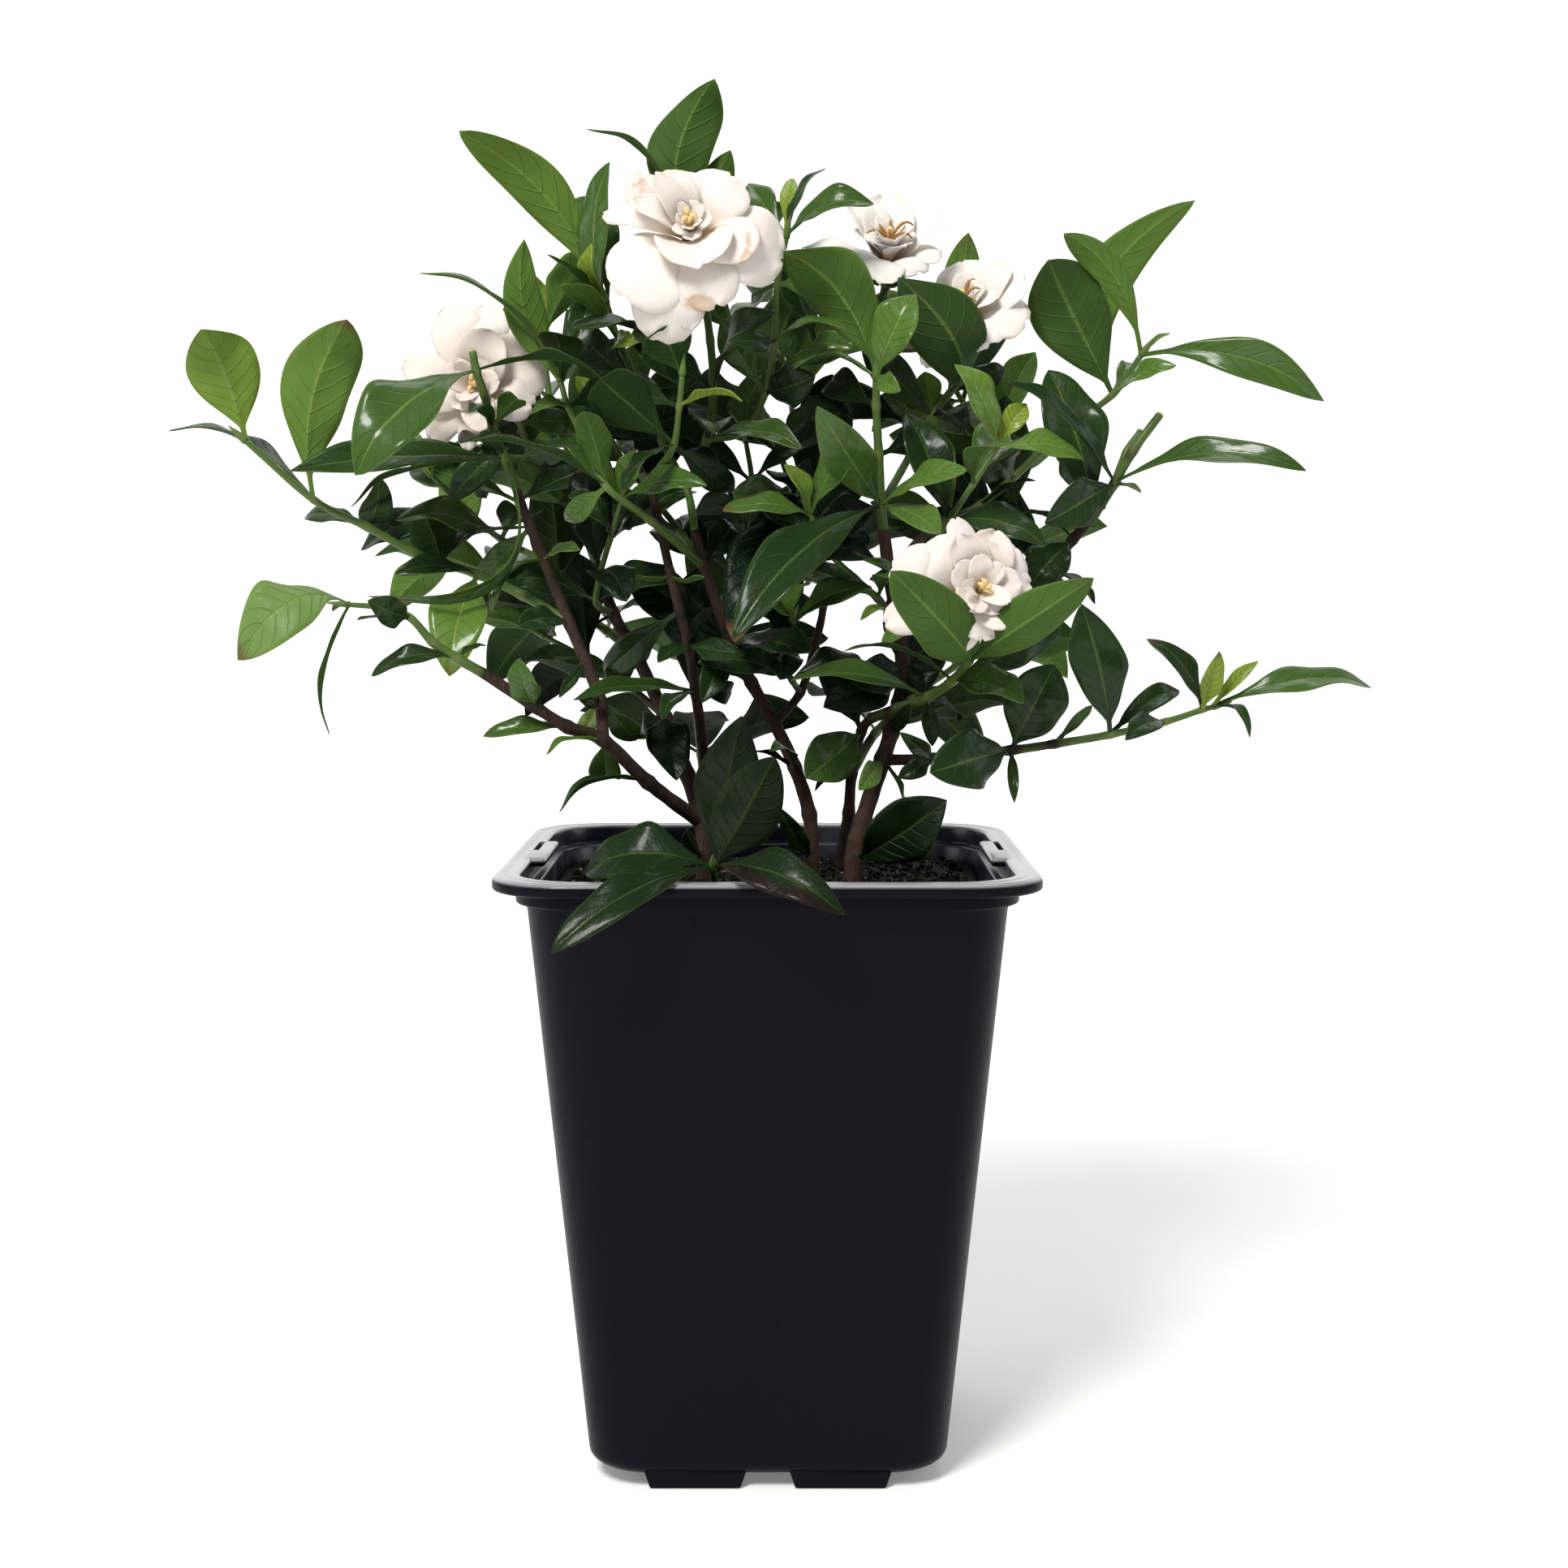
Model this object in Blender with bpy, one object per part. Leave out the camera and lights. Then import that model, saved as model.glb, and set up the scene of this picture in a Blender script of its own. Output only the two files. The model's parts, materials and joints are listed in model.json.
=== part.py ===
"""A potted gardenia: a square nursery pot of black plastic, its soil, and a shrub with five double flowers.

The frame is in metres with +Z up. The pot stands on its feet at z = 0, with the origin under its middle.
The viewer's side of the plant is -Y. Lengths in the tables below are in millimetres.
"""
import math
from collections import namedtuple

import bmesh
import bpy
from mathutils import Matrix, Vector
from mathutils.bvhtree import BVHTree

MM = 0.001

# Pot
RIM_HALF = 88.0
RIM_HEIGHT = 205.0
RIM_DROP = 4.6
RIM_EDGE = 1.6
FLANGE = 8.0
COLLAR_HALF = 81.0
COLLAR_DROP = 4.8
WALL_TOP_HALF = 77.8
BASE_HALF = 59.5
WALL = 1.6
FLOOR_TOP = 6.4
FOOT_HEIGHT = 4.5
FOOT_LENGTH = 32.0
FOOT_DEPTH = 12.0
FOOT_SPLAY = 24.0
DRAIN_RADIUS = 4.0
DRAIN_PLACES = ((0, 0), (32, 32), (-32, 32), (32, -32), (-32, -32))
CORNER_STEPS = 5
TAB_LENGTH = 50.0
TAB_PLACE = 2.0
# Length of a tab's slot, and how far it stands behind the tab's middle
SLOT = (24.0, 10.0)
LABEL_PANEL = (45.0, 1.0, 5.0)

# Soil
SOIL_EDGE = 191.0
SOIL_DOME = ((56.0, 195.4), (28.0, 197.5))
ROOTED_DEPTH = 25.0

# Clearances and thicknesses
GAP = 0.3
LEAF_THICK = 1.0
# Where a leaf has its sections along its length. A narrow leaf does with fewer.
LEAF_ROWS = (0.0, 0.2, 0.5, 0.8, 1.0)
NARROW_ROWS = (0.0, 0.25, 0.65, 1.0)
NARROW = 12
PETAL_THICK = 1.4
PETIOLE = 0.1
SHARP_ANGLE = math.radians(35)
STEM_FLATS = 0.85
THROAT = 16.0
# Closed heart of a flower above its throat: rise along the axis and radius
HEART = ((4.0, 5.4), (10.0, 8.5), (15.0, 6.5))

# Colours by leaf tone: dark, mid, bright, young, pale
LEAF_COLOURS = (
    (0.02, 0.06, 0.02), (0.05, 0.13, 0.03), (0.10, 0.22, 0.04), (0.22, 0.32, 0.05), (0.20, 0.30, 0.12),
)
BARK_COLOUR = (0.09, 0.045, 0.025)
POT_COLOUR = (0.012, 0.012, 0.018)
SOIL_COLOUR = (0.012, 0.009, 0.007)
PETAL_COLOUR = (0.87, 0.82, 0.72)

# A shoot starts on its parent at the given point of the parent's path, or in the soil if it has no parent.
# bark runs from 0 (green) to 1 (woody). radii are at its two ends.
Shoot = namedtuple("Shoot", "name parent joint bark radii path leaves")

# A leaf grows from a point of its shoot's path. ways are the sides its upper face looks to, by their letters:
# Up, Down, Left, Right, Front and Back. arch bends its midrib upwards and sway sideways, fold is in degrees.
Leaf = namedtuple("Leaf", "node tip width ways arch fold tone sway", defaults=(0,))

SHOOTS = [
    Shoot("trunk_left", "", 0, 1, (3.8, 2.5),
          [(-22, -12, 186), (-22, -12, 203), (-23, -11, 216), (-28, -5, 232), (-36, 5, 251),
           (-46, 16, 271), (-55, 26, 286), (-61, 32, 302)],
          [(1, (-28, -30, 216), 5, "LU", 1, 6, 0), (4, (-42, -25, 246), 9, "FL", 3, 10, 1),
           (4, (-31, -22, 232), 16, "F", 3, 8, 0), (5, (-56, 0, 260), 9, "FU", 2, 6, 1),
           (6, (-69, 5, 274), 6, "U", 2, 6, 0)]),
    Shoot("branch_low_left", "trunk_left", 2, 1, (3.2, 2.2),
          [(-40, -26, 231), (-54, -38, 246), (-65, -46, 251), (-75, -52, 258), (-91, -56, 269)],
          [(1, (-68, -48, 226), 8, "U", 5, 14, 0), (3, (-92, -50, 249), 8, "UF", 2, 8, 1),
           (4, (-79, -62, 273), 11, "FD", 2, 6, 1), (3, (-79, -30, 249), 4, "U", 2, 5, 1),
           (2, (-70, -60, 246), 4, "U", 2, 5, 2), (2, (-55, -20, 231), 11, "F", 2, 6, 1)]),
    Shoot("stem_left_rise", "branch_low_left", 2, 1, (2.7, 1.9),
          [(-56, -28, 259), (-61, -22, 271), (-67, -16, 284), (-76, -8, 305), (-81, -4, 316),
           (-86, 0, 329)],
          [(1, (-61, -38, 260), 6, "F", 1, 6, 0), (1, (-64, -5, 246), 7, "F", 1, 6, 4),
           (1, (-44, -8, 244), 9, "F", 3, 6, 1), (2, (-72, -28, 272), 4, "U", 1, 5, 0),
           (2, (-69, -30, 260), 4, "F", 2, 6, 0), (3, (-82, -28, 284), 11, "FU", 2, 6, 0),
           (4, (-92, -30, 288), 6, "U", 6, 14, 1), (4, (-63, -22, 309), 7, "FU", 2, 10, 2),
           (5, (-105, -14, 311), 7, "U", 2, 6, 0), (5, (-100, 10, 298), 10, "F", 2, 6, 1)]),
    Shoot("shoot_far_left", "stem_left_rise", 3, 0.25, (2.1, 1.3),
          [(-83, -8, 293), (-98, -10, 300), (-110, -12, 304), (-120, -14, 308), (-134, -18, 316),
           (-151, -22, 325), (-172, -26, 344)],
          [(2, (-104, -42, 269), 19, "FU", 4, 6, 2), (2, (-124, -24, 301), 9, "UF", 3, 8, 0),
           (3, (-119, 0, 323), 17, "B", 3, 6, 0), (3, (-105, 14, 319), 10, "F", 2, 6, 0),
           (5, (-159, 2, 320), 8, "FU", 3, 6, 0), (5, (-133, 4, 331), 12, "B", 3, 8, 0),
           (6, (-202, -4, 351), 14, "U", 7, 10, 0), (6, (-136, -34, 383), 25, "B", 4, 8, 2, 8),
           (7, (-183, -36, 380), 25, "B", 5, 10, 2)]),
    Shoot("shoot_left_low", "branch_low_left", 5, 0.35, (2.2, 1.0),
          [(-99, -60, 274), (-106, -62, 279), (-113, -64, 287), (-121, -66, 290), (-131, -68, 291)],
          [(1, (-125, -66, 269), 8, "UF", 5, 8, 0), (3, (-123, -78, 292), 10, "F", 2, 6, 0),
           (3, (-132, -50, 286), 4, "U", 1, 6, 0), (5, (-161, -92, 275), 21, "FU", 13, 4, 4),
           (5, (-139, -74, 251), 5, "L", 4, 12, 1), (5, (-138, -60, 289), 4, "U", 1, 4, 1),
           (1, (-91, -48, 278), 4, "U", 1, 4, 0)]),
    Shoot("stub_left", "stem_left_rise", 6, 0.3, (2.0, 1.6),
          [(-89, -6, 339), (-92, -14, 349), (-94, -22, 360), (-96, -25, 367), (-97, -26, 373)],
          [(4, (-131, -58, 335), 24, "FU", 6, 10, 2), (4, (-52, -30, 365), 12, "U", 5, 16, 0),
           (2, (-81, -32, 358), 10, "BU", 3, 12, 1), (2, (-96, -34, 355), 8, "UF", 2, 10, 0),
           (1, (-156, -34, 334), 15, "FU", 4, 8, 0), (1, (-128, -30, 291), 6, "R", 26, 14, 1),
           (1, (-142, -8, 327), 7, "U", 4, 6, 0), (2, (-87, 24, 324), 10, "F", 3, 6, 2),
           (1, (-100, -30, 344), 12, "U", 4, 8, 0)]),
    Shoot("shoot_flower_left", "stub_left", 1, 0.2, (1.8, 1.5),
          [(-83, 10, 341), (-86, 10, 352), (-92, 6, 363)],
          [(1, (-125, 6, 340), 12, "U", 3, 6, 0), (2, (-70, 24, 353), 10, "F", 3, 6, 1),
           (2, (-110, 20, 325), 11, "F", 3, 6, 0)]),
    Shoot("stem_centre", "", 0, 1, (2.7, 1.8),
          [(-18, 8, 183), (-21, 9, 206), (-22, 8, 223), (-23, 3, 243), (-25, -4, 260), (-27, -9, 276),
           (-30, -12, 288), (-33, -10, 300), (-37, -6, 317), (-40, -2, 329)],
          [(4, (-62, -40, 262), 8, "FU", 3, 12, 1), (4, (-35, -40, 256), 7, "U", 2, 8, 1),
           (5, (-36, -34, 272), 7, "UF", 2, 8, 1), (5, (-8, -30, 274), 8, "F", 2, 8, 1),
           (5, (-18, -36, 290), 4, "U", 1, 6, 0), (7, (-46, -22, 301), 5, "U", -2, 10, 2),
           (7, (-21, -24, 300), 5, "U", -2, 10, 2), (6, (-58, 10, 265), 11, "F", 3, 6, 1),
           (4, (-12, 12, 260), 8, "F", 3, 6, 0)]),
    Shoot("shoot_centre_low", "stem_centre", 9, 0.1, (1.6, 1.2),
          [(-36, -14, 336), (-31, -24, 343), (-29, -30, 355), (-28, -30, 365)],
          [(2, (-54, -50, 363), 20, "B", 5, 8, 0), (3, (-8, -52, 356), 9, "U", 3, 10, 3),
           (4, (-34, -44, 380), 17, "B", 4, 8, 0), (2, (-48, -40, 328), 9, "U", 3, 8, 0),
           (3, (-48, 4, 365), 11, "F", 3, 6, 0), (2, (-11, -10, 328), 10, "F", 3, 6, 0)]),
    Shoot("trunk_middle", "", 0, 1, (3.5, 2.1),
          [(16, -6, 185), (15, -6, 202), (14, -4, 218), (9, -2, 234), (2, 0, 249), (-6, 2, 263),
           (-13, 2, 277), (-17, 0, 288), (-22, -4, 303), (-25, -8, 315)],
          [(3, (2, -28, 244), 7, "FU", 2, 6, 2), (3, (-5, -8, 241), 5, "U", 1, 6, 0),
           (6, (14, -40, 275), 16, "FU", 3, 8, 1), (5, (-37, -10, 286), 11, "F", 3, 6, 0),
           (6, (-22, -20, 258), 10, "F", 3, 6, 1), (8, (-12, 8, 318), 12, "F", 3, 6, 0),
           (6, (-50, 14, 302), 17, "F", 4, 6, 0), (1, (4, -20, 221), 7, "F", 1, 6, 0),
           (7, (4, 20, 302), 11, "F", 3, 6, 0)]),
    Shoot("shoot_left_mid", "trunk_middle", 8, 0.15, (1.8, 1.2),
          [(-39, -22, 318), (-53, -30, 329), (-60, -22, 343), (-67, -12, 356), (-70, -6, 365)],
          [(2, (-95, -50, 343), 12, "U", 5, 8, 0), (2, (-59, -46, 353), 12, "B", 3, 6, 1),
           (1, (-47, -6, 321), 12, "F", 2, 6, 0), (2, (-69, -10, 318), 8, "F", 2, 6, 2),
           (5, (-81, -14, 411), 14, "B", 3, 6, 2, 5), (5, (-113, -12, 401), 8, "U", 8, 8, 1),
           (4, (-79, -16, 354), 6, "FU", 3, 10, 2), (3, (-84, -10, 340), 7, "FU", 2, 8, 0),
           (5, (-59, 6, 400), 11, "F", 3, 6, 0), (4, (-49, 0, 365), 12, "F", 3, 6, 0),
           (5, (-71, -26, 381), 15, "FU", 3, 6, 0)]),
    Shoot("shoot_top_left", "trunk_middle", 9, 0.1, (1.8, 1.2),
          [(-28, 4, 329), (-37, 10, 346), (-44, 12, 363), (-51, 8, 379), (-55, 4, 392)],
          [(5, (-102, -16, 446), 17, "B", 6, 8, 2, -9), (4, (-46, -22, 377), 8, "F", 2, 8, 3),
           (5, (-60, -8, 410), 9, "FL", 3, 12, 3), (5, (-53, -4, 437), 15, "FL", 3, 10, 1, -3),
           (5, (-76, 8, 429), 17, "F", 4, 6, 1, 9), (4, (-67, -14, 395), 9, "U", 3, 12, 2),
           (4, (-41, -30, 374), 8, "U", 2, 10, 1), (4, (-73, -10, 406), 8, "UF", 3, 8, 0),
           (3, (-70, -4, 389), 17, "F", 3, 6, 0), (3, (-26, -10, 364), 11, "F", 3, 6, 0),
           (2, (-64, 12, 358), 14, "F", 3, 6, 0)]),
    Shoot("shoot_flower_top", "shoot_top_left", 1, 0.1, (1.8, 1.6),
          [(-21, 0, 346), (-19, 5, 362), (-20, 8, 380), (-23, 9, 398), (-28, 7, 414),
           (-29, -3, 418)],
          [(5, (-18, 4, 466), 24, "B", 4, 6, 1, 7), (5, (-13, 12, 444), 13, "B", 3, 6, 1),
           (5, (-58, 6, 452), 8, "U", 7, 8, 1), (2, (0, -26, 387), 15, "FU", 4, 8, 0),
           (2, (-40, -16, 372), 12, "F", 3, 6, 0), (1, (10, -30, 344), 11, "FU", 3, 10, 1),
           (1, (-17, -44, 346), 14, "BU", 4, 14, 0)]),
    Shoot("shoot_top_middle", "shoot_flower_top", 1, 0.05, (1.6, 1.2),
          [(-9, 10, 349), (-1, 4, 362), (2, -4, 378), (3, -8, 397), (6, -10, 412)],
          [(5, (34, -20, 423), 13, "FU", 5, 12, 1), (5, (18, -2, 437), 6, "U", 3, 10, 0),
           (5, (8, 4, 435), 6, "F", 2, 6, 3), (5, (-7, 8, 433), 10, "F", 3, 6, 1),
           (5, (-13, -2, 421), 7, "U", 2, 6, 0), (4, (18, 10, 399), 12, "F", 3, 6, 2),
           (3, (-12, -30, 376), 8, "F", 2, 6, 0), (3, (25, -34, 381), 8, "UF", 4, 10, 1),
           (2, (26, 0, 377), 7, "UF", 4, 8, 2), (2, (-16, 4, 386), 11, "F", 3, 6, 1),
           (4, (-6, 12, 396), 8, "F", 3, 6, 1), (2, (15, 14, 366), 14, "F", 3, 6, 0)]),
    Shoot("trunk_right", "", 0, 1, (4.4, 2.6),
          [(27, -22, 187), (29, -20, 204), (32, -16, 217), (39, -8, 237), (42, -4, 246), (45, 0, 256),
           (46, 0, 268), (44, -4, 284), (41, -8, 300), (39, -10, 315)],
          [(1, (58, -42, 226), 22, "F", 4, 10, 0), (3, (31, -34, 230), 8, "F", 1, 8, 2),
           (3, (45, -22, 219), 5, "R", 3, 10, 0), (4, (47, -18, 256), 6, "F", 1, 6, 1),
           (7, (-5, -56, 281), 12, "U", 7, 10, 0), (8, (14, -40, 308), 16, "FU", 4, 8, 0),
           (7, (31, -34, 288), 5, "UF", 3, 10, 3), (7, (39, -40, 279), 8, "F", 3, 14, 3),
           (8, (32, -34, 305), 4, "R", 3, 10, 3), (6, (28, -20, 264), 14, "F", 3, 6, 0),
           (6, (19, -20, 256), 16, "F", 3, 6, 0), (5, (60, 4, 277), 11, "F", 3, 6, 0)]),
    Shoot("trunk_back_right", "", 0, 1, (3.2, 2.0),
          [(25, 14, 188), (26, 14, 202), (28, 12, 217), (29, 10, 231), (32, 2, 246), (35, -4, 251)],
          [(4, (13, -20, 232), 18, "F", 3, 8, 1), (3, (16, 8, 225), 7, "U", 2, 6, 0),
           (4, (19, 10, 274), 14, "F", 3, 6, 0)]),
    Shoot("shoot_flower_right", "trunk_back_right", 5, 0.5, (2.4, 1.6),
          [(44, -13, 255), (53, -20, 259), (61, -28, 265), (66, -36, 272), (68, -42, 279)],
          [(4, (36, -74, 304), 22, "B", -7, 6, 1), (4, (103, -62, 300), 16, "B", -4, 8, 1),
           (3, (83, -44, 260), 16, "FU", 3, 10, 1), (3, (25, -52, 277), 6, "U", 5, 8, 0),
           (2, (8, -46, 267), 11, "UF", 5, 10, 1), (2, (55, -24, 243), 6, "F", 2, 8, 0),
           (2, (66, -4, 251), 7, "UF", 2, 8, 0), (3, (100, -8, 283), 12, "F", 3, 6, 0),
           (2, (52, 4, 271), 11, "F", 3, 6, 0)]),
    Shoot("branch_long_right", "trunk_right", 3, 0.7, (2.4, 1.2),
          [(56, -14, 238), (82, -16, 241), (97, -14, 243), (116, -12, 246), (135, -8, 250),
           (148, -6, 254), (152, -5, 255)],
          [(2, (54, -44, 236), 20, "F", 3, 10, 0), (2, (82, -30, 225), 4, "U", 3, 6, 0),
           (1, (45, -30, 247), 6, "F", 2, 6, 0), (1, (44, -20, 232), 7, "F", 2, 8, 0),
           (2, (96, -20, 270), 21, "F", 3, 8, 0), (4, (104, -28, 290), 19, "F", 4, 10, 0),
           (4, (141, -2, 262), 9, "UF", 3, 8, 0), (5, (120, -26, 247), 10, "UF", 2, 8, 0),
           (6, (130, -12, 279), 9, "FU", 4, 12, 0), (6, (152, -16, 274), 8, "F", 2, 10, 3),
           (7, (166, -10, 271), 5, "FU", 2, 10, 3), (7, (207, -2, 263), 13, "UF", 9, 8, 1),
           (7, (163, -16, 246), 5, "U", 5, 8, 0), (3, (112, 4, 255), 4, "F", 1, 6, 1)]),
    Shoot("branch_right_up", "trunk_right", 6, 0.9, (2.6, 1.8),
          [(65, 14, 278), (82, 18, 290), (97, 14, 302), (105, 8, 312), (112, 4, 321), (118, 0, 331),
           (124, -2, 342), (133, 0, 354)],
          [(4, (89, 0, 296), 16, "FU", 2, 8, 0), (3, (113, 4, 291), 7, "U", 2, 10, 0),
           (3, (86, 4, 278), 8, "U", 3, 10, 1), (4, (85, 10, 321), 7, "U", 4, 8, 0),
           (5, (107, -10, 327), 7, "F", 3, 12, 0), (6, (81, -24, 365), 12, "UF", 4, 14, 0),
           (5, (96, 6, 370), 22, "F", 4, 10, 0), (6, (177, -4, 335), 12, "UF", 8, 14, 1, -2),
           (6, (125, -14, 328), 4, "U", 1, 6, 1), (6, (94, -14, 318), 16, "F", 3, 8, 0),
           (2, (99, 30, 276), 14, "F", 3, 6, 0), (3, (77, 34, 329), 12, "F", 3, 6, 0)]),
    Shoot("stub_right_short", "branch_right_up", 6, 0.4, (1.7, 1.6),
          [(123, 7, 342), (128, 9, 349)],
          []),
    Shoot("branch_right_top", "trunk_right", 8, 0.6, (2.2, 1.3),
          [(57, 18, 316), (74, 26, 324), (86, 26, 334), (103, 20, 350), (119, 14, 362),
           (128, 10, 375)],
          [(6, (99, -6, 414), 12, "B", 5, 8, 2, -8), (6, (188, -4, 359), 14, "F", 6, 10, 1, -7),
           (6, (138, 12, 383), 4, "U", 1, 6, 2), (5, (136, 0, 372), 9, "FU", 2, 8, 2),
           (5, (126, 22, 375), 6, "F", 2, 8, 1), (5, (147, 26, 428), 18, "B", 5, 6, 2, 18),
           (5, (94, -2, 406), 27, "B", 5, 8, 1), (3, (74, 14, 354), 12, "U", 4, 8, 1),
           (3, (72, 4, 345), 16, "F", 3, 8, 0), (4, (110, 30, 330), 12, "F", 3, 6, 0),
           (2, (92, 20, 333), 5, "U", 2, 6, 0), (3, (93, 34, 305), 9, "F", 2, 8, 0),
           (2, (64, 34, 342), 13, "F", 3, 6, 0)]),
    Shoot("shoot_centre_right", "trunk_right", 9, 0.1, (2.2, 1.6),
          [(38, -12, 323), (37, -14, 340), (36, -16, 356), (36, -18, 365)],
          [(4, (6, -46, 406), 27, "B", 6, 6, 1, -4), (4, (48, -24, 392), 17, "FU", 4, 10, 2),
           (4, (43, -34, 360), 7, "F", 2, 10, 2), (4, (10, -6, 376), 7, "U", 3, 8, 2),
           (1, (17, -42, 353), 16, "F", 4, 10, 1), (1, (56, -40, 314), 12, "UF", 2, 8, 2),
           (1, (64, -38, 335), 11, "UF", 3, 12, 2), (2, (23, 14, 345), 13, "F", 3, 6, 0),
           (3, (20, 14, 368), 12, "F", 3, 6, 0), (2, (56, 4, 349), 14, "F", 3, 6, 0),
           (1, (20, -6, 318), 14, "F", 3, 6, 0), (1, (-11, -50, 282), 20, "FU", 8, 8, 0)]),
    Shoot("shoot_flower_back", "shoot_centre_right", 1, 0.1, (1.8, 1.5),
          [(49, 16, 341), (57, 20, 355), (63, 18, 363), (67, 14, 367)],
          [(3, (43, 0, 400), 26, "B", 6, 10, 0, -7), (3, (70, 34, 419), 16, "B", 3, 6, 2),
           (3, (83, 26, 372), 9, "F", 2, 6, 0), (2, (54, 16, 370), 10, "B", 2, 8, 2),
           (2, (62, -4, 324), 8, "F", 3, 10, 3), (2, (68, 6, 349), 12, "U", 3, 14, 0),
           (2, (32, 24, 381), 13, "F", 3, 6, 0), (2, (82, 40, 359), 9, "F", 2, 6, 1)]),
    Shoot("shoot_flower_middle", "shoot_flower_back", 1, 0.1, (1.7, 1.5),
          [(48, 22, 353), (42, 18, 375), (39, 8, 394)],
          [(2, (18, 34, 396), 13, "F", 3, 6, 1), (1, (21, 40, 365), 13, "F", 3, 6, 0),
           (2, (59, 42, 388), 13, "F", 3, 6, 0)]),
    Shoot("stem_middle_right", "trunk_middle", 4, 0.9, (2.0, 1.5),
          [(11, 12, 259), (16, 16, 275), (19, 16, 290), (16, 12, 303), (11, 8, 314), (9, 4, 327)],
          [(6, (-11, -38, 281), 20, "FU", 4, 8, 0), (6, (-11, -28, 323), 15, "UF", 3, 12, 2),
           (6, (6, -30, 333), 16, "BU", 3, 16, 0), (5, (21, 20, 330), 14, "F", 3, 6, 0),
           (3, (-5, 24, 289), 13, "F", 3, 6, 0), (4, (34, 24, 319), 13, "F", 3, 6, 0),
           (2, (32, 24, 263), 11, "F", 3, 6, 0), (5, (36, 26, 341), 13, "F", 3, 6, 0)]),
    Shoot("shoot_low_front", "", 0, 0.3, (2.0, 1.4),
          [(-18, -48, 188), (-17, -60, 198), (-17, -73, 208.5)],
          [(2, (-9, -38, 252), 21, "B", 4, 8, 0), (2, (2, -60, 242), 22, "B", 5, 8, 0),
           (2, (-58, -70, 208), 20, "FU", 7, 8, 0), (2, (-65, -106, 187), 14, "FU", 8, 8, 0),
           (2, (23, -104, 200), 16, "FU", 8, 10, 0), (1, (10, -44, 211), 8, "U", 3, 8, 0)]),
]

# A flower sits on the end of its shoot. Each petal is (clock angle, reach, lift along the axis, width).
Flower = namedtuple("Flower", "name parent centre axis petals")
FLOWERS = [
    Flower("flower_top", "shoot_flower_top", (-25, -38, 413), (0, -0.93, 0.37),
           ((219, 28, -2, 30), (197, 37, -8, 24), (162, 28, -2, 21), (181, 33, -9, 12), (170, 16, 6, 25),
            (113, 23, 2, 18), (103, 32, -6, 28), (38, 22, 0, 22), (346, 19, 0, 18), (310, 26, -2, 14),
            (284, 30, -5, 9), (320, 19, 12, 10), (333, 14, 13, 8))),
    Flower("flower_left", "shoot_flower_left", (-100, 0, 364), (-0.18, -0.93, 0.1),
           ((285, 27, -4, 11), (338, 25, -2, 18), (8, 23, -2, 20), (42, 25, -3, 16), (76, 23, -4, 18),
            (111, 19, -1, 14), (139, 13, 2, 12), (190, 23, -4, 7), (219, 28, -5, 12), (20, 15, 4, 18))),
    Flower("flower_middle", "shoot_flower_middle", (41, 4, 412), (0.05, -0.5, 0.86),
           ((275, 28, 2, 14), (320, 18, 10, 16), (0, 18, 11, 18), (60, 20, 7, 19), (100, 18, -1, 16),
            (150, 17, -2, 15), (200, 20, -2, 18), (240, 17, -1, 14))),
    Flower("flower_right", "shoot_flower_back", (67, 6, 392), (-0.3, -0.66, 0.69),
           ((345, 20, 4, 20), (25, 20, 4, 20), (60, 22, 2, 18), (100, 22, -3, 20), (140, 20, -3, 18),
            (180, 18, -2, 18), (215, 24, -8, 12), (262, 18, -3, 15), (310, 18, 0, 16))),
    Flower("flower_low", "shoot_flower_right", (68, -58, 296), (0.22, -0.94, 0.22),
           ((345, 24, 0, 10), (332, 17, 6, 16), (17, 18, 4, 16), (44, 18, 1, 18), (84, 17, 0, 16),
            (141, 15, 3, 16), (180, 16, 0, 14), (209, 22, -6, 14), (253, 32, -8, 14), (287, 29, -5, 20),
            (309, 22, -2, 20))),
]

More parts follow.
